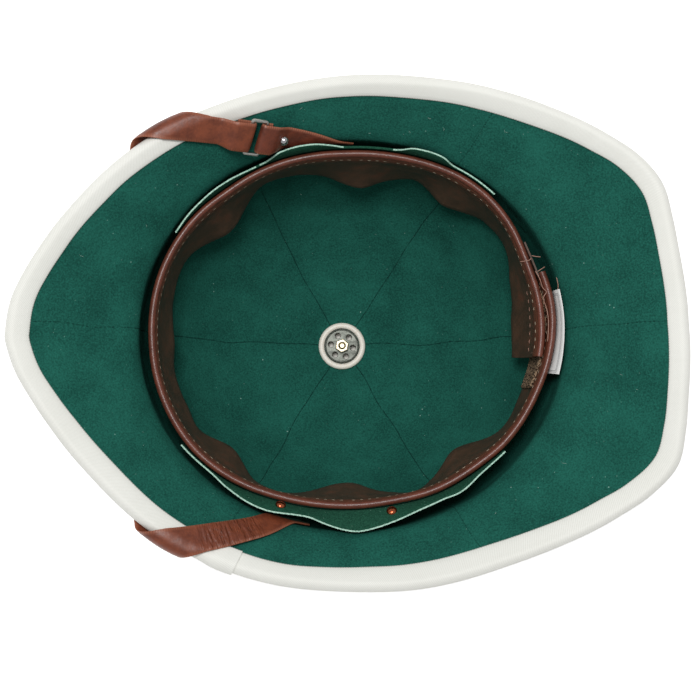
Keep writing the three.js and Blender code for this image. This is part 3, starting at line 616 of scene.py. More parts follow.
cap_finish = Finish("cap_cotton", Roughness=0.9, Specular_IOR_Level=0.25)
cap_weave = cap_finish.grain(0.7, 3.0, rough=0.7)
cap_x, cap_y = [thread.ridges(0.6) for thread in cap_finish.along_across("Object")]
cap_finish.surface(
    Base_Color=cap_finish.mix(cap_weave, srgb(222, 219, 210), srgb(240, 238, 231)),
    Normal=cap_finish.bump(cap_weave * 0.06 + (cap_x + cap_y) * 0.012),
)
cap_profile = [
    (0, 0), (CAP_FLAT_RADIUS - 1, 0), (CAP_FLAT_RADIUS, 0.1), (17.2, 1.2), (18.9, 3.2), (19.8, 5.8),
    (CAP_RADIUS, 8.6), (CAP_RADIUS, 11.0), (19.8, 11.7), (19.2, CAP_HEIGHT), (2.6, CAP_HEIGHT),
    (POST_RADIUS, 12.4),
]
post_top = NUT_FACE + NUT_HEIGHT + POST_END
post_foot = len(cap_profile) - 1
for k in range(14):
    level = lerp(CAP_HEIGHT + 1, post_top - 0.5, k / 13)
    cap_profile.append((POST_RADIUS - k % 2 * THREAD_DEPTH, level))
cap_profile += [(POST_RADIUS - 0.5, post_top), (0, post_top)]


def cap_kind(i, j):
    """Cloth on the cap and metal on its threaded post."""
    return int(post_foot <= j < len(cap_profile) - 1)


turned_piece(
    "ventilator_cap", cap_profile, [cap_finish.material, brass], ["vent_cap"],
    kind=cap_kind,
)


# The binding. A white cotton twill tape folded over the rim and sewn through both legs. Its ends
# overlap at the front right, where the upper end is turned under.
BINDING_START, BINDING_OVERLAP, BINDING_EASE, BINDING_STEPS = 239.4, 3.5, 5, 420
NOSE_REACH, NOSE_CENTRE = 1.56, 1.2
TAPE_PUFF, PRESSED_EDGE, END_LIFT, EDGE_WANDER = 0.22, 0.35, 1.15, 0.25
TWILL_PITCH = 0.95


def rim_point(angle, inward, through):
    """Point at the rim: inward along the brim's last stretch, through its wall from the lining."""
    before, rim = section_line(angle)[-2:]
    run = (rim - before).normalized()
    side = Vector((run.y, -run.x))
    return rim - inward * run + through * side


def binding_profile(width, lift):
    """Ring of (inward, through): the tape's outer face round the rim, then its inner face back."""
    outer, inner = [], []
    half = LINED_WALL / 2
    rest = half + GAP + lift
    legs = [lerp(width, NOSE_CENTRE, k / 6) for k in range(7)]
    for side, stations in ((-1, legs), (1, legs[::-1])):
        for inward in stations:
            puff = TAPE_PUFF * math.sin(math.pi * min(1, (width - inward) / 9))
            edge = PRESSED_EDGE * smooth((inward - width + 1.2) / 1.2)
            outer.append((inward, half + side * (rest + BINDING_THICKNESS + puff - edge)))
            inner.append((inward, half + side * rest))
        for k in range(1, 12) if side < 0 else ():
            turn = math.pi * k / 12
            for ring, less in ((outer, 0), (inner, BINDING_THICKNESS)):
                reach = NOSE_CENTRE + NOSE_REACH + lift - less
                across = rest + BINDING_THICKNESS - less
                ring.append((
                    NOSE_CENTRE - reach * math.sin(turn), half - across * math.cos(turn)
                ))
    return outer + inner[::-1]


binding_rings = []
for step in range(BINDING_STEPS + 1):
    degrees = BINDING_START + step / BINDING_STEPS * (360 + BINDING_OVERLAP)
    angle = math.radians(degrees)
    to_end = BINDING_START + 360 + BINDING_OVERLAP - degrees
    lift = END_LIFT * smooth((BINDING_EASE + BINDING_OVERLAP - to_end) / BINDING_EASE)
    wave = EDGE_WANDER * noise.noise((6 * math.cos(angle), 6 * math.sin(angle), 3))
    ring = []
    for inward, through in binding_profile(binding_width(angle), lift):
        edge = wave * smooth((inward - 5) / 4)
        ring.append(on_section(angle, rim_point(angle, inward + edge, through)))
    binding_rings.append(ring)

twill = Finish("binding_twill", Roughness=0.88, Specular_IOR_Level=0.25, Sheen_Weight=0.1)
along, across = twill.along_across()
slant = (along + across * 0.8).ridges(TWILL_PITCH)
fuzz = twill.grain(0.7, 3.0, rough=0.65)
pucker = twill.grain(1.0, 2.0, twill.place("UV", (130, 22, 1000)))
soil = twill.grain(30, 2.0)
tape_tone = slant * 0.35 + fuzz * 0.35 + soil * 0.3
tape_colour = twill.mix(tape_tone.step(0.2, 0.8), srgb(230, 230, 222), srgb(246, 246, 240))
# Painted shadow: the colour darkens to grey in a dashed line along the tape's edge on the lining
# side, standing in for the shadow under that edge.
edge_shadow_line = across.step(0.75, 0.1) * (along.ridges(1.3) * 0.6 + 0.4)
tape_colour = twill.mix(edge_shadow_line * 0.7, tape_colour, srgb(112, 116, 108))
twill.surface(
    Base_Color=tape_colour,
    Normal=twill.bump(slant * 0.035 + fuzz * 0.04 + pucker * 0.55),
)
loft("rim_tape", binding_rings, [twill.material], ["brim_binding"])


# The sweatband. A brown leather strip sewn to the helmet's throat along a piped welt. Its free
# edge waves inwards, and it closes at the rear, where the inner end lies inside the outer one.
BAND_HALF_LENGTH, BAND_HALF_WIDTH = 105.4, 94.2
BAND_SHIFT_REAR, BAND_SHIFT_LEFT = 2.4, 3
BAND_HEIGHT, WELT_RADIUS, LOBE_INSET = 40, 1.9, 16
BAND_INNER_END, BAND_OUTER_END, OVERLAP_EASE, BAND_STEPS = -9.6, 375.5, 30, 460
BAND_LOBES = [
    (-12, 0.55), (-3, 0.66), (4, 0.66), (15, 0.4), (28, 0.1), (39, 0.25), (52, 0.7), (64, 0.24),
    (70, 0.28), (85, 0.76), (98, 0.32), (108, 0.1), (120, 0.08), (138, 0.82), (153, 0.3),
    (166, 0.35), (182, 0.55), (193, 0.44), (203, 0.49), (211, 0.42), (223, 0.79), (236, 0.17),
    (244, 0.05), (251, 0.2), (267, 0.68), (283, 0.17), (291, 0.02), (298, 0.2), (311, 0.72),
    (326, 0.14), (338, 0.2), (350, 0.25), (376, 0.25),
]
# How far the welt stands out from a true oval, by the angle from the rear
BAND_WAVE = [
    (-12, 0.5), (16, 0.5), (22, 0.9), (30, 1.7), (40, 2.1), (52, 2.7), (62, 2), (75, 0.9),
    (90, 0.2), (98, 0.5), (112, 1), (122, 0.8), (131, 0.5), (142, 1.3), (155, 1.4), (170, 1.1),
    (182, 1), (192, 1.8), (205, 3.1), (215, 4), (223, 3.9), (232, 3.1), (245, 1.3), (258, 0.3),
    (270, -0.2), (282, -0.5), (296, 0.4), (312, 0.1), (322, 0.8), (340, 0.5), (352, 1.5),
    (364, 2.5), (376, 2.1),
]
LOBE_POWER = 1.6


def welt_radius_at(degrees):
    turn = math.radians(degrees)
    oval = math.hypot(math.cos(turn) / BAND_HALF_LENGTH, math.sin(turn) / BAND_HALF_WIDTH)
    return 1 / oval + read_table(BAND_WAVE, degrees)


def band_point(degrees, out, up):
    """Point of the band: out from the welt's middle line and up from its level."""
    share = max(0, -up / BAND_HEIGHT)
    inset = read_table(BAND_LOBES, degrees) * LOBE_INSET * share**LOBE_POWER
    over = 1 - smooth((degrees - (BAND_OUTER_END - 360)) / OVERLAP_EASE)
    step = (2 * WELT_RADIUS + GAP) * over
    radius = welt_radius_at(degrees) - WELT_RADIUS - step + out - inset
    turn = math.radians(degrees)
    return Vector((
        BAND_SHIFT_REAR + radius * math.cos(turn),
        BAND_SHIFT_LEFT + radius * math.sin(turn),
        OPENING_LEVEL + up,
    ))


# Inner face of the band below the welt, as (up, out): it swells over the piping's seam
BAND_FACE = [
    (-40, -0.75), (-24, -0.8), (-14, -1.1), (-9, -1.8), (-6, -2.35), (-5, -2.3), (-4.6, -2.05),
    (-4.2, -2.3), (-3, -2.35), (-1.9, -2.0), (-1.2, -1.75),
]
face_ups = [
    -40, -39.4, -37, -34, -31, -28, -25, -22, -19, -16.5, -14, -12, -10.2, -8.6, -7.2, -6.1, -5.3,
    -4.9, -4.6, -4.3, -3.9, -3.2, -2.5, -1.9,
]
welt_turns = [math.radians(lerp(218, -40, k / 15)) for k in range(16)]
band_profile = [(read_table(BAND_FACE, up), up) for up in face_ups]
band_profile += [(WELT_RADIUS * math.cos(t), WELT_RADIUS * math.sin(t)) for t in welt_turns]
band_profile += [(0.95, -2.6), (0.75, -8), (0.75, -16), (0.75, -24), (0.75, -32), (0.75, -39.4)]
band_profile[0] = (-0.35, -40)
band_profile.append((0.35, -40))
WELT_START, WELT_END = len(face_ups), len(face_ups) + len(welt_turns) - 1


def band_ripple(degrees, up):
    """Small unevenness of the leather, which grows from the welt to the free edge."""
    return 0.5 * noise.noise((degrees / 7, up / 16, 5)) * smooth((-up - 5) / 20)


def leather(name, light, dark, rough, edge=None, creases=None, redder_mask=None):
    """Smooth finished cowhide with fine pores and soft cloudy dye. edge is the colour of rubbed
    edges, creases gives the height of wrinkles, and the last argument the mask of the places that
    turn a redder tan."""
    finish = Finish(name, Specular_IOR_Level=0.5, Coat_Roughness=0.35)
    place = finish.place()
    pores = finish.node("TexVoronoi", None, {"Vector": place, "Scale": 1 / 0.55})
    dye = finish.grain(9, 4.0, rough=0.6)
    mottle = finish.grain(1.2, 3.0)
    tone = dye * 0.7 + mottle * 0.3
    colour = finish.mix(tone.step(0.3, 0.7), dark, light)
    if redder_mask:
        colour = finish.mix(redder_mask(finish, dye), colour, REDDER_TAN)
    height = pores.step(0.0, 0.6) * 0.035 + mottle * 0.06
    if edge:
        notches = finish.along_across()[0].ridges(1.25).step(0.2, 0.6) * 0.5 + 0.4
        colour = finish.mix(finish.attribute("edge") * notches, colour, edge)
    if creases:
        height = height + creases(finish)
    return finish.surface(
        Base_Color=colour, Roughness=dye * 0.16 + mottle * 0.12 + rough, Normal=finish.bump(height)
    )


def beside_welt(finish, dye):
    """Redder leather near the piping and in cloudy patches on the waves."""
    across = finish.along_across()[1]
    return (across.step(27, 35) * 0.8 + dye.step(0.5, 0.72) * across.step(3, 16) * 0.6) * 0.9


REDDER_TAN = srgb(104, 56, 38)
# Painted shade and painted reflection: the band's faces take the welt's brown leather darkened and
# tinted olive, as for inward faces in shade with light bounced off the green lining. The welt keeps
# the lighter brown.
band_leather_painted_shade = leather(
    "sweatband_leather", srgb(90, 63, 46), srgb(62, 46, 34), rough=0.4, redder_mask=beside_welt
)
welt_leather = leather("welt_leather", srgb(112, 60, 44), srgb(84, 44, 33), rough=0.2)
band_rings = []
for step in range(BAND_STEPS + 1):
    degrees = lerp(BAND_INNER_END, BAND_OUTER_END, step / BAND_STEPS)
    band_rings.append([
        band_point(degrees, out + band_ripple(degrees, up), up) for out, up in band_profile
    ])


def band_kind(i, j):
    """Leather darkened and tinted olive on the band's faces, as painted shade and painted green
    reflection, and the lighter, glossier piping leather on its welt.
    """
    return int(WELT_START <= j <= WELT_END)


loft(
    "leather_sweatband", band_rings, [band_leather_painted_shade, welt_leather], ["sweatband"],
    kind=band_kind, sharp=60,
)

# The leather of the outer end runs on a little way past its piping, trimmed to a thin edge.
TAIL_START, TAIL_END, TAIL_STEPS = BAND_OUTER_END - 361, BAND_OUTER_END - 350, 24
TAIL_FACE, TAIL_BACK, TAIL_FOOT = 3.0, 3.9, -9
tail_rings = []
for step in range(TAIL_STEPS + 1):
    degrees = lerp(TAIL_START, TAIL_END, step / TAIL_STEPS)
    top = lerp(-0.3, -3.5, smooth(step / TAIL_STEPS))
    corners = [(TAIL_FACE, top), (TAIL_BACK, top), (TAIL_BACK, TAIL_FOOT), (TAIL_FACE, TAIL_FOOT)]
    tail_rings.append([band_point(degrees, out, up) for out, up in corners])
loft("sweatband_tail", tail_rings, [band_leather_painted_shade])

# Stitches: one row along the whole band below the welt, and two short rows of thinner thread on
# its inner end, which hold the far half of the closing tape. A row is (start, end) in degrees and
# its levels there.
STITCH_LEVEL, STITCH_LENGTH, STITCH_PITCH, STITCH_BOW = -4.6, 2.5, 4.3, 0.1
STITCH_RADIUS, TAPE_STITCH_RADIUS, LOOSE_RADIUS = 0.3, 0.16, 0.2
TAPE_STITCH_ROWS = [(-8.4, 13, -19, -15), (-8.4, -8.39, -7, -19)]
thread = mottled("stitch_thread", (172, 152, 126), (226, 212, 188), 0.5, Roughness=0.8)
loose_thread = mottled("loose_thread", (150, 100, 84), (196, 158, 140), 2, Roughness=0.7)


def stitch_row(start, end, first, last):
    """Stitches on the band's inner face from one angle and level to another."""
    length = (band_point(start, 0, first) - band_point((start + end) / 2, 0, first)).length * 2
    if length < 1:
        length = abs(last - first)
    paths = []
    for k in range(max(1, int(length / STITCH_PITCH))):
        path = []
        for part in (0, 0.25, 0.5, 0.75, 1):
            share = (k + 0.5) * STITCH_PITCH / length + (part - 0.5) * STITCH_LENGTH / length
            degrees, level = lerp(start, end, share), lerp(first, last, share)
            proud = STITCH_BOW * (1 - 8 * (part - 0.5) ** 2)
            face = read_table(BAND_FACE, level) + band_ripple(degrees, level)
            path.append(band_point(degrees, face - proud, level))
        paths.append(path)
    return paths


stitches = []
for start in range(int(BAND_INNER_END) + 1, int(BAND_OUTER_END) - 2, 12):
    stitches += stitch_row(start, min(start + 12, BAND_OUTER_END - 1), STITCH_LEVEL, STITCH_LEVEL)
threads_piece("band_stitches", stitches, STITCH_RADIUS, thread)
tape_stitches = [path for row in TAPE_STITCH_ROWS for path in stitch_row(*row)]
threads_piece("tape_stitches", tape_stitches, TAPE_STITCH_RADIUS, loose_thread)

# Loose ends of the sewing thread at the closing, as (angle, out, up) on the band.
LOOSE_ENDS = [
    [(20.5, -3.4, 0.6), (20.1, -1, 2.3), (19.9, 1.4, 2.2), (20.2, 2.6, 1.9)],
    [(20.9, 3.4, 1.6), (20.2, 5.4, 1.4), (19.6, 7.6, 1.8)],
    [
        (16.2, 2.4, 2.2), (13.5, 3.1, 2.6), (11, 3.3, 2.2), (9.5, 4.6, 2.4), (8.2, 2.6, 2.7),
        (7, 2.2, 2.4),
    ],
    [(7, 2.2, 2.4), (5, 3.0, 2.6), (2, 3.5, 2.3), (-1, 3.4, 2.4), (-5, 3.2, 2.2)],
    [(15.9, 3.6, 1.4), (16.3, 6.2, 2.0), (16.6, 8.0, 1.4)],
    [(8.3, 9.2, 1.0), (10.2, 11.2, 3.0), (12.8, 11.7, 3.2)],
]


def curve_through(spots, steps):
    """Smooth path through the spots, in a number of steps from each to the next."""
    path = []
    for k, (here, there) in enumerate(zip(spots, spots[1:])):
        before, after = spots[max(0, k - 1)], spots[min(len(spots) - 1, k + 2)]
        leave, arrive = (there - before) / 2, (after - here) / 2
        for step in range(steps):
            t = step / steps
            path.append(
                here * (2 * t**3 - 3 * t**2 + 1) + leave * (t**3 - 2 * t**2 + t)
                + there * (3 * t**2 - 2 * t**3) + arrive * (t**3 - t**2)
            )
    return path + [spots[-1]]


loose_paths = [curve_through([band_point(*spot) for spot in end], 6) for end in LOOSE_ENDS]
threads_piece("loose_threads", loose_paths, LOOSE_RADIUS, loose_thread)


# The closing tape. Brown loop tape sewn on the inner face of the sweatband's outer end. Its pile
# stands unevenly and is lower round its cut edges.
TAPE_THICKNESS, TAPE_START, TAPE_END = 1.4, 341, 372
TAPE_TOP, TAPE_BOTTOM = -6, -36.8
TAPE_STEPS, TAPE_ROWS = 110, 44
TAPE_CLEAR, PILE_HEIGHT = 0.25, 0.4
loop_tape = mottled(
    "loop_tape", (54, 38, 28), (176, 148, 120), 1.1, grain=0.8, step=(0.46, 0.56), relief=1.2,
    Roughness=0.95, Specular_IOR_Level=0.2,
)
tape_rings = []
for step in range(TAPE_STEPS + 1):
    degrees = lerp(TAPE_START, TAPE_END, step / TAPE_STEPS)
    face, back = [], []
    for row in range(TAPE_ROWS + 1):
        up = lerp(TAPE_BOTTOM, TAPE_TOP, row / TAPE_ROWS)
        seat = read_table(BAND_FACE, up) - TAPE_CLEAR
        pile = 0.45 * noise.noise((degrees * 2.7, up * 1.6, 2))
        pile += 0.25 * noise.noise((degrees * 6, up * 3, 8))
        from_edge = min(step, TAPE_STEPS - step, row, TAPE_ROWS - row) / 3
        rise = TAPE_THICKNESS * smooth(0.35 + from_edge) - PILE_HEIGHT * pile
        face.append(band_point(degrees, seat - rise, up))
        back.append(band_point(degrees, seat, up))
    tape_rings.append(face + back[::-1])
loft("closing_tape", tape_rings, [loop_tape], ["grip_tape"], sharp=80)


# The side strips. Stiff strips under dark green felted cloth, one on each side, that stand behind
# the sweatband and lean out to the wall. Their cut top edge shows the pale mint core.
STRIP_THICKNESS, STRIP_RISE, DRAPE_GAP = 1.2, 8, 0.7
STRIP_FOOT_LEVELS = [-10, -7, -4, -2]
STRIP_SHARES = [0, 0.15, 0.3, 0.45, 0.6, 0.75, 0.86, 0.93, 0.97, 1]
LOW_SHARE, LOW_LEAN, CUT_EDGE = 0.3, 0.25, 0.22
LEFT_WAVE = [
    (42, 0), (50, 0), (56, 0.05), (62, 0.29), (69, 0.25), (76, 0), (90, 0), (94, 0.11), (98, 0.2),
    (102, 0.3), (106, 0.34), (110.5, 0.28), (114, 0.12), (117, 0.02), (120, 0.02), (124, 0.09),
    (128, 0.15), (133, 0.18), (139, 0.14), (145, 0.1), (150, 0),
]
RIGHT_WAVE = [
    (213, 0.12), (222, 0.03), (231, 0.28), (237, 0.45), (243.5, 0.48), (250.6, 0.33), (255.7, 0.31),
    (260.3, 0.47), (266, 0.66), (270.4, 0.72), (275.6, 0.62), (282.3, 0.46), (289.5, 0.29),
    (296.7, 0.22), (302, 0.27), (310, 0.13), (320, 0.04),
]


def wall_radius(angle, height):
    """Radius of the lining at an angle and a height near the head opening."""
    line = section_line(angle)
    i = 2
    while i < len(line) - 2 and line[i + 1].y < height:
        i += 1
    return lerp(line[i].x, line[i + 1].x, (height - line[i].y) / (line[i + 1].y - line[i].y))


def between_band_and_wall(degrees, lean, up, through):
    """Point between the welt (lean 0) and the lining (lean 1), up from the opening's level."""
    turn = math.radians(degrees)
    near = welt_radius_at(degrees) + DRAPE_GAP
    x, y = BAND_SHIFT_REAR + near * math.cos(turn), BAND_SHIFT_LEFT + near * math.sin(turn)
    angle = math.atan2(y, x)
    wall = wall_radius(angle, OPENING_LEVEL + up) - DRAPE_GAP - STRIP_THICKNESS
    radius = lerp(math.hypot(x, y), wall, lean) + through
    return Vector((radius * math.cos(angle), radius * math.sin(angle), OPENING_LEVEL + up))


felt = Finish("strip_felt", Roughness=0.95, Specular_IOR_Level=0.08)
nap = felt.grain(0.8, 4.0, rough=0.75)
felt_colour = felt.mix(nap.step(0.3, 0.7), srgb(20, 56, 43), srgb(42, 92, 72))
felt_colour = felt.mix(felt.specks(2.6, 0.3, 0.7) * 0.6, felt_colour, srgb(130, 175, 155))
felt.surface(Base_Color=felt_colour, Normal=felt.bump(nap * 0.2))
mint_core = mottled(
    "mint_core", (118, 160, 142), (184, 220, 202), 0.9, 3.0, step=(0.25, 0.6), relief=0.15,
    Roughness=0.85,
)


def standing_ring(degrees, rows, thickness):
    """Ring across a strip, up its face and down its back, from rows of (lean, up, slimming)."""
    face = [between_band_and_wall(degrees, lean, up, slim) for lean, up, slim in rows]
    back = [between_band_and_wall(degrees, lean, up, thickness - slim) for lean, up, slim in rows]
    return face + back[::-1]


def side_strip(name, wave, node):
    """Strip with a ragged top edge, which is lower where the strip keeps close to the welt."""
    first, last = wave[0][0], wave[-1][0]
    count = int((last - first) * 2.5)
    rings, bare = [], []
    for step in range(count + 1):
        degrees = lerp(first, last, step / count)
        lean = max(0, read_table(wave, degrees))
        rise = STRIP_RISE * lerp(LOW_SHARE, 1, smooth(lean / LOW_LEAN))
        ragged = 0.25 * noise.noise((degrees * 1.9, 0, 4)) + 0.16 * noise.noise((degrees * 7, 0, 9))
        rows = [(0, up, 0) for up in STRIP_FOOT_LEVELS]
        for share in STRIP_SHARES:
            up = share * rise + ragged * smooth(4 * share - 3)
            rows.append((share * lean, up, CUT_EDGE * smooth(12 * share - 11)))
        rings.append(standing_ring(degrees, rows, STRIP_THICKNESS))
        # Painted shade: near the strip's middle, where it keeps close to the welt, its cut edge is
        # coloured as dark felt instead of the mint core.
        bare.append(lean > 0.012 or abs(step / count - 0.5) > 0.3)
    top = len(rows) - 1

    def strip_kind(i, j):
        """Felted cloth all over, but for the cut edge along the top where it clears the welt. Where
        the edge keeps under the welt's overhang, it takes the dark felt as painted shade.
        """
        return int(j == top and bare[i])

    loft(name, rings, [felt.material, mint_core], [node], kind=strip_kind)


side_strip("left_strip", LEFT_WAVE, "strip_left")
side_strip("right_strip", RIGHT_WAVE, "strip_right")

# Two domed copper rivets through the right strip.
RIVET_RADIUS, RIVET_HEIGHT, RIVET_SHARE, HEAD_SEAT = 2.8, 2.2, 0.4, 0.2
RIVETS = [("front_rivet", 246.7, "rivet_front"), ("rear_rivet", 280.9, "rivet_rear")]
copper = mottled(
    "rivet_copper", (168, 74, 44), (222, 130, 92), 0.6, 3.0,
    step=(0.3, 0.7), rough=(0.12, 0.2), Metallic=1.0,
)


def domed_head(name, radius, height, middle, direction, finish, node):
    """Domed head with a small rolled rim, seated with its flat back at a point."""
    profile = [(0.0, 0.0), (0.9 * radius, 0.0), (radius, 0.12 * height), (radius, 0.3 * height)]
    profile += [
        (0.96 * radius * math.cos(t), lerp(0.32, 1, math.sin(t)) * height)
        for t in [math.radians(10 * k) for k in range(1, 10)]
    ]
    turn = Vector((0, 0, 1)).rotation_difference(direction).to_matrix()
    rings = [[turn @ on_section(t, spot) + middle for spot in profile] for t in full_turn(40)]
    loft(name, rings, [finish], [node], closed=True)


for name, degrees, node in RIVETS:
    lean = read_table(RIGHT_WAVE, degrees)
    foot = between_band_and_wall(degrees, 0, 0, 0)
    edge = between_band_and_wall(degrees, lean, STRIP_RISE, 0)
    beside = between_band_and_wall(degrees + 1, 0, 0, 0) - foot
    normal = beside.cross(edge - foot).normalized()
    normal = normal if normal.z > 0 else -normal
    middle = foot.lerp(edge, RIVET_SHARE) + normal * HEAD_SEAT
    domed_head(name, RIVET_RADIUS, RIVET_HEIGHT, middle, normal, copper, node)


# The label. A small white woven tag caught behind the welt at the rear. It is left bare inside its
# woven border of two dark lines.
LABEL_THICKNESS, LABEL_HALF_LENGTH, LABEL_SHIFT, LABEL_STEPS = 0.6, 21.5, -2.2, 48
LABEL_LEAN = [(-6, 0), (-3, 0), (0, 0.12), (5, 0.62)]
LABEL_UPS = [-6, -4, -2.5, -1, 0, 0.8, 1.6, 2.4, 3.2, 4, 4.6, 5]
label_span = math.degrees(LABEL_HALF_LENGTH / BAND_HALF_LENGTH)
label_rings = []
for step in range(LABEL_STEPS + 1):
    degrees = 360 + LABEL_SHIFT + lerp(-label_span, label_span, step / LABEL_STEPS)
    flutter = 0.25 * noise.noise((degrees / 4, 0, 6))
    rows = [(read_table(LABEL_LEAN, up), up) for up in LABEL_UPS]
    rows = [(lean, up + flutter * lean, 0) for lean, up in rows]
    label_rings.append(standing_ring(degrees, rows, LABEL_THICKNESS))
woven = Finish("label_satin", Roughness=0.6, Sheen_Weight=0.2)
along, across = woven.along_across()
across_face = run_along(label_rings[LABEL_STEPS // 2][:len(LABEL_UPS)])[-1]
from_ends = (along - LABEL_HALF_LENGTH).size() * -1 + LABEL_HALF_LENGTH
from_top = across * -1 + across_face
from_edge = from_ends.sum("MINIMUM", from_ends, from_top)
line_one = from_edge.step(0.65, 0.8) * from_edge.step(1.05, 0.9)
line_two = from_edge.step(1.4, 1.5) * from_edge.step(1.75, 1.65)
floss = woven.grain(0.5, 2.0, woven.place("UV", (1000, 3500, 1000)))
label_colour = woven.mix(floss, srgb(214, 214, 212), srgb(240, 240, 238))
label_colour = woven.mix(line_one.greater(line_two) * 0.9, label_colour, srgb(66, 70, 80))
woven.surface(Base_Color=label_colour, Normal=woven.bump(floss * 0.08))
loft("woven_label", label_rings, [woven.material], ["label"])


# The chin strap. One brown leather strap that comes from behind the right strip, turns up round
# the rim, lies over the front of the brim outside and comes back round the rim to a slide. A
# short tab from behind the left strip holds the slide's other bar.
STRAP_WIDTH, STRAP_THICKNESS, EDGE_EASE, EDGE_BULGE = 15.8, 1.3, 0.5, 0.18
SLIDE_BAR, SLIDE_SPACING, SLIDE_LIFT = 1.5, 8.4, 0.8
STRAP_FOLD_RUN, TAB_FOLD_RUN = 8, 5
BINDING_SHARE, BINDING_CLEAR, BRIM_SCALE = 0.42, 1.6, 50
STRAP_ROUTE = [
    (255.5, -1.3), (252, -1.18), (248.8, -1), (244.2, -0.74), (238.5, -0.49), (233.2, -0.26),
    (227.5, 0), (218, 0.46), (209, 0.74), (195, 0.92), (180, 0.93), (165, 0.92), (150, 0.74),
    (141.5, 0.46), (131, 0), (126, -0.19), (121.6, -0.34),
]
SLIDE_AT, SLIDE_WRAP, SLIDE_SLANT = 114.2, -0.56, -0.06
TAB_ROUTE = [(88.5, -1.24), (92, -1.14), (96.5, -1.01), (101, -0.89), (105.5, -0.77)]
STRAP_STEPS, TAB_STEPS, ROUTE_STEPS = 300, 16, 40
THROAT_ROW = 1 + CROWN_STEPS
DEGREE_LENGTH = math.radians(1) * HALF_WIDTH
REST_LIFT = DRAPE_GAP + STRAP_THICKNESS / 2
RAILS = [lerp(-0.5, 0.5, k / 10) for k in range(11)]
MIDDLE_RAIL = 5


def brim_point(degrees, wrap, lift):
    """Point at a lift from the bound brim: wrap is -1 at the head opening under the brim, 0 at the
    rim, which it follows in a half circle, and 1 at the head opening above the brim."""
    angle = math.radians(degrees)
    line = section_line(angle)
    bound = BINDING_CLEAR * (BINDING_THICKNESS + GAP)
    bound *= 1 - smooth((abs(wrap) - BINDING_SHARE) / BINDING_SHARE)
    bare = LINED_WALL / 2 + BINDING_THICKNESS + GAP + DRAPE_GAP
    bend = bare - DRAPE_GAP + lift
    half_arc = math.pi / 2 * bare
    brim = run_along(line[THROAT_ROW:])[-1] + half_arc
    travelled = abs(wrap) * brim
    if travelled < half_arc:
        turn = wrap * brim / bare
        through = LINED_WALL / 2 + bend * math.sin(turn)
        return on_section(angle, rim_point(angle, -bend * math.cos(turn), through))
    side = -bound - lift if wrap < 0 else LINED_WALL + bound + lift
    path = offset_line(line, side)[::-1]
    left = travelled - half_arc
    i = 0
    while left > (path[i + 1] - path[i]).length and i < len(path) - 2:
        left -= (path[i + 1] - path[i]).length
        i += 1
    return on_section(angle, path[i].lerp(path[i + 1], left / (path[i + 1] - path[i]).length))


def smooth_route(route, count):
    """Even steps along a smooth curve through the route, as (spot, heading) in millimetres."""
    spots = [Vector((at * DEGREE_LENGTH, wrap * BRIM_SCALE)) for at, wrap in route]
    fine = curve_through(spots, ROUTE_STEPS)
    lengths = run_along(fine)
    steps, i = [], 0
    for k in range(count + 1):
        goal = lengths[-1] * k / count
        while i < len(fine) - 2 and lengths[i + 1] < goal:
            i += 1
        share = (goal - lengths[i]) / (lengths[i + 1] - lengths[i])
        heading = (fine[min(i + 2, len(fine) - 1)] - fine[max(0, i - 1)]).normalized()
        steps.append((fine[i].lerp(fine[i + 1], share), heading))
    return steps


def lay_strap(route, count):
    """Rails of a strap along the brim, from one edge to the other at each step."""
    rails = []
    for spot, heading in smooth_route(route, count):
        row = []
        for side in RAILS:
            x = spot.x - heading.y * side * STRAP_WIDTH
            y = spot.y + heading.x * side * STRAP_WIDTH
            row.append(brim_point(x / DEGREE_LENGTH, y / BRIM_SCALE, REST_LIFT))
        rails.append(row)
    return rails


fold_radius = SLIDE_BAR * math.sqrt(0.5) + GAP + STRAP_THICKNESS / 2
slide_seat = brim_point(SLIDE_AT, SLIDE_WRAP, REST_LIFT + SLIDE_LIFT)
slide_wide = brim_point(SLIDE_AT - 1, SLIDE_WRAP + SLIDE_SLANT / 2, REST_LIFT)
slide_wide -= brim_point(SLIDE_AT + 1, SLIDE_WRAP - SLIDE_SLANT / 2, REST_LIFT)
slide_wide.normalize()
slide_up = brim_point(SLIDE_AT, SLIDE_WRAP, REST_LIFT + SLIDE_LIFT + 1) - slide_seat
slide_long = slide_up.cross(slide_wide).normalized()
slide_up = slide_wide.cross(slide_long)


def fold_over_bar(rails, heading, run):
    """Carries a strap's end up to its bar, round it and a short way back underneath."""
    last = rails[-1]
    along = slide_wide * heading
    width = slide_long * math.copysign(1, (last[-1] - last[0]).dot(slide_long))

    def at(x, y):
        middle = slide_seat + along * (x - SLIDE_SPACING / 2) + slide_up * y
        return [middle + width * side * STRAP_WIDTH for side in RAILS]

    top = 2 * fold_radius
    flat = at(-run, top)
    rise = []
    for step in range(1, 10):
        share = step / 10
        lift = slide_up * top * (smooth(share) - share)
        rise.append([point.lerp(flat[k], share) + lift for k, point in enumerate(last)])
    turns = [math.pi * k / 14 for k in range(15)]
    bend = [at(fold_radius * math.sin(t), fold_radius * (1 + math.cos(t))) for t in turns]
    return rails + rise + [flat, at(-run / 2, top)] + bend + [at(-run / 2, 0), at(-0.9 * run, 0)]


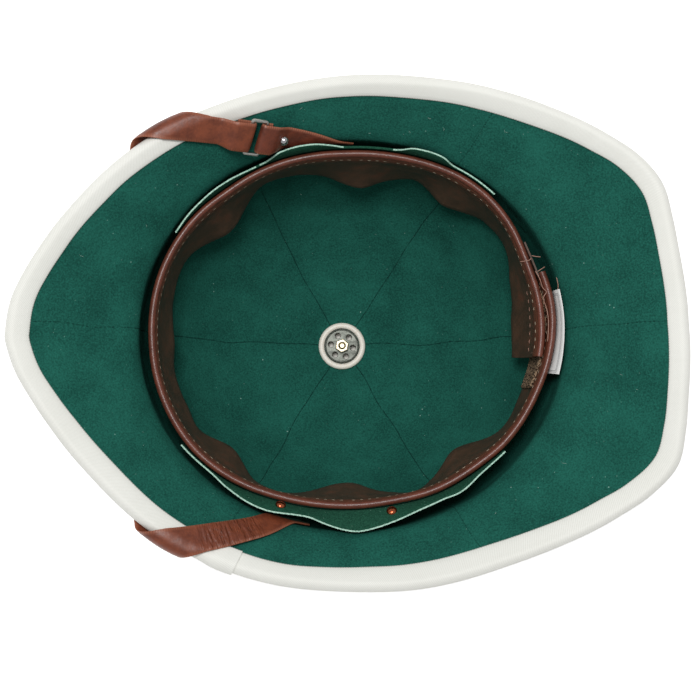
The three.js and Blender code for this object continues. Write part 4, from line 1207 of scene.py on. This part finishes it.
def strap_piece(name, rails, finish, node):
    """Strap solid round its rails, with rounded edges marked for the rubbed finish."""
    rings = []
    half = STRAP_THICKNESS / 2
    halves = [half * EDGE_EASE] + [half] * (len(RAILS) - 2) + [half * EDGE_EASE]
    for i, row in enumerate(rails):
        before, after = rails[max(0, i - 1)], rails[min(len(rails) - 1, i + 1)]
        along = (after[MIDDLE_RAIL] - before[MIDDLE_RAIL]).normalized()
        across = (row[-1] - row[0]).normalized()
        normal = along.cross(across).normalized()
        face = [point + normal * lift for point, lift in zip(row, halves)]
        back = [point - normal * lift for point, lift in zip(row, halves)]
        out = across * EDGE_BULGE
        rings.append(face + [row[-1] + out] + back[::-1] + [row[0] - out])
    marks = [1.0] + [0.0] * (len(RAILS) - 2) + [1.0]
    edges = (marks + [1.0]) * 2 * len(rails)
    lengths = run_along([row[MIDDLE_RAIL] for row in rails])
    width = [side * STRAP_WIDTH for side in RAILS]
    places = width + [width[-1] + 1] + width[::-1] + [width[0] - 1, width[0]]
    made = loft(
        name, rings, [finish], [node], sharp=50,
        uv=lambda i, j, own: (lengths[i], places[j]),
    )
    made.data.attributes.new("edge", "FLOAT", "POINT").data.foreach_set("value", edges)


def strap_creases(finish):
    """Fine wrinkles across the strap, deepest just inside the rim on its first stretch."""
    along, across = finish.along_across()
    wander = finish.grain(1.0, 3.0, finish.place("UV", (90, 60, 1000)))
    folds = finish.grain(1.0, 3.0, finish.place("UV", (430, 105, 1000)))
    where = along.step(30, 40) * along.step(76, 62)
    return where * folds.step(0.35, 0.62) * 0.55 + wander * 0.25


strap_leather = leather(
    "strap_leather", srgb(136, 70, 44), srgb(98, 48, 32), edge=srgb(158, 96, 72),
    creases=strap_creases, rough=0.28,
)
strap_rails = fold_over_bar(lay_strap(STRAP_ROUTE, STRAP_STEPS), 1, STRAP_FOLD_RUN)
strap_piece("leather_chin_strap", strap_rails, strap_leather, "chin_strap")
tab_leather = leather(
    "tab_leather", srgb(124, 62, 42), srgb(86, 43, 31), edge=srgb(170, 106, 80), rough=0.28
)
tab_rails = fold_over_bar(lay_strap(TAB_ROUTE, TAB_STEPS), -1, TAB_FOLD_RUN)
strap_piece("leather_tab", tab_rails, tab_leather, "strap_tab")

# The slide: a flat ring of plated steel wire.
WIRE_RADIUS, SLIDE_CORNER, SQUARE_SHARE, ROUND_SHARE = 0.8, 1.1, 0.35, 0.68
steel = mottled(
    "slide_steel", (190, 190, 184), (238, 238, 232), 0.5, 3.0, scale=(2400, 500, 1000),
    step=(0.3, 0.7), rough=(0.22, 0.25), relief=0.03, Metallic=1.0,
)
half_wide = SLIDE_SPACING / 2 - SLIDE_CORNER
half_long = STRAP_WIDTH / 2 + DRAPE_GAP + SLIDE_BAR / 2 - SLIDE_CORNER
slide_middle = slide_seat + slide_up * fold_radius
slide_rings = []
for quarter, (wide, long) in enumerate(((1, 1), (-1, 1), (-1, -1), (1, -1))):
    for k in range(6):
        turn = math.radians(90 * quarter + 90 * k / 5)
        out = slide_wide * math.cos(turn) + slide_long * math.sin(turn)
        centre = slide_middle + slide_wide * wide * half_wide + slide_long * long * half_long
        centre += out * SLIDE_CORNER
        section = []
        for t in full_turn(16):
            square = SQUARE_SHARE / max(abs(math.cos(t)), abs(math.sin(t)))
            reach = WIRE_RADIUS * (square + ROUND_SHARE)
            section.append(centre + (out * math.cos(t) + slide_up * math.sin(t)) * reach)
        slide_rings.append(section)
loft("wire_slide", slide_rings, [steel], ["strap_slide"], closed=True)

# The stud: a bright chromed ball head on the tab, where it rises to the slide.
STUD_RADIUS, STUD_HEIGHT, STUD_CLEAR = 2.6, 3, 0.1
STUD_ROW = TAB_STEPS + 4
chrome = mottled(
    "stud_chrome", (206, 206, 208), (236, 236, 238), 1.2, rough=(0.06, 0.12), Metallic=1.0
)
before, row, after = tab_rails[STUD_ROW - 1 : STUD_ROW + 2]
stud_along = after[MIDDLE_RAIL] - before[MIDDLE_RAIL]
stud_up = stud_along.cross(row[-1] - row[0]).normalized()
stud_up = stud_up if stud_up.z > 0 else -stud_up
stud_seat = row[MIDDLE_RAIL] + stud_up * (STRAP_THICKNESS / 2 + STUD_CLEAR)
domed_head(
    "tab_stud", STUD_RADIUS, STUD_HEIGHT, stud_seat, stud_up, chrome, "strap_stud"
)


# The floor and the light: a plain white floor that glows, an even sky and one large soft lamp
# high above it. These places and sizes are metres.
FLOOR_REACH, FLOOR_GLOW, SKY_LIGHT = 60, 0.64, 0.36
WHITE = (1, 1, 1, 1)
LAMP_PLACE, LAMP_AIM = Vector((-0.15, 0.3, 1.7)), Vector((0, 0, 0.1))
LAMP_SIZE, LAMP_POWER = 0.5, 17
scene = bpy.context.scene
pale = Finish("pale_floor", Roughness=0.9, Emission_Strength=FLOOR_GLOW, Emission_Color=WHITE)
pale.surface(Base_Color=pale.mix(pale.grain(400, 1.0), (0.8, 0.8, 0.8, 1), (0.84, 0.84, 0.84, 1)))
floor_mesh = bpy.data.meshes.new("floor")
corners = [(-1, -1, 0), (1, -1, 0), (1, 1, 0), (-1, 1, 0)]
floor_corners = [Vector(corner) * FLOOR_REACH for corner in corners]
floor_mesh.from_pydata(floor_corners, [], [(0, 1, 2, 3)])
floor_mesh.materials.append(pale.material)
floor = bpy.data.objects.new("floor", floor_mesh)
scene.collection.objects.link(floor)

scene.view_settings.view_transform = "Standard"
scene.world = bpy.data.worlds.new("sky")
scene.world.use_nodes = True
sky = scene.world.node_tree.nodes["Background"]
sky.inputs["Color"].default_value = WHITE
sky.inputs["Strength"].default_value = SKY_LIGHT
lamp_data = bpy.data.lights.new("key", "AREA")
lamp_data.shape, lamp_data.size, lamp_data.energy = "DISK", LAMP_SIZE, LAMP_POWER
lamp = bpy.data.objects.new("key", lamp_data)
lamp.location = LAMP_PLACE
lamp.rotation_euler = (LAMP_AIM - LAMP_PLACE).to_track_quat("-Z", "Y").to_euler()
scene.collection.objects.link(lamp)


# The camera. It hangs a metre over the head opening and looks down into it, tilted a little
# against the helmet's axis. The helmet's own directions are given as the camera sees them.
CAMERA_LENS, CAMERA_WIDTH = 98.13, 36
CAMERA_TILT_X, CAMERA_TILT_Y, CAMERA_ROLL = 0.03, 0.0534377, math.radians(1.3902)
OPENING_SEEN_AT = Vector((-1.4823, 7.9271, -1000))
upright = math.sqrt(1 - CAMERA_TILT_X**2 - CAMERA_TILT_Y**2)
helmet_up = Vector((CAMERA_TILT_X, CAMERA_TILT_Y, upright))
helmet_rear = Vector((math.cos(CAMERA_ROLL), math.sin(CAMERA_ROLL), 0))
helmet_rear = (helmet_rear - helmet_rear.dot(helmet_up) * helmet_up).normalized()
camera_turn = Matrix((helmet_rear, helmet_up.cross(helmet_rear), helmet_up))
camera_data = bpy.data.cameras.new("camera")
camera_data.lens, camera_data.sensor_width = CAMERA_LENS, CAMERA_WIDTH
camera = bpy.data.objects.new("camera", camera_data)
camera.matrix_world = camera_turn.to_4x4()
camera.location = (Vector((0, 0, OPENING_LEVEL)) - camera_turn @ OPENING_SEEN_AT) * MM
scene.collection.objects.link(camera)
scene.camera = camera
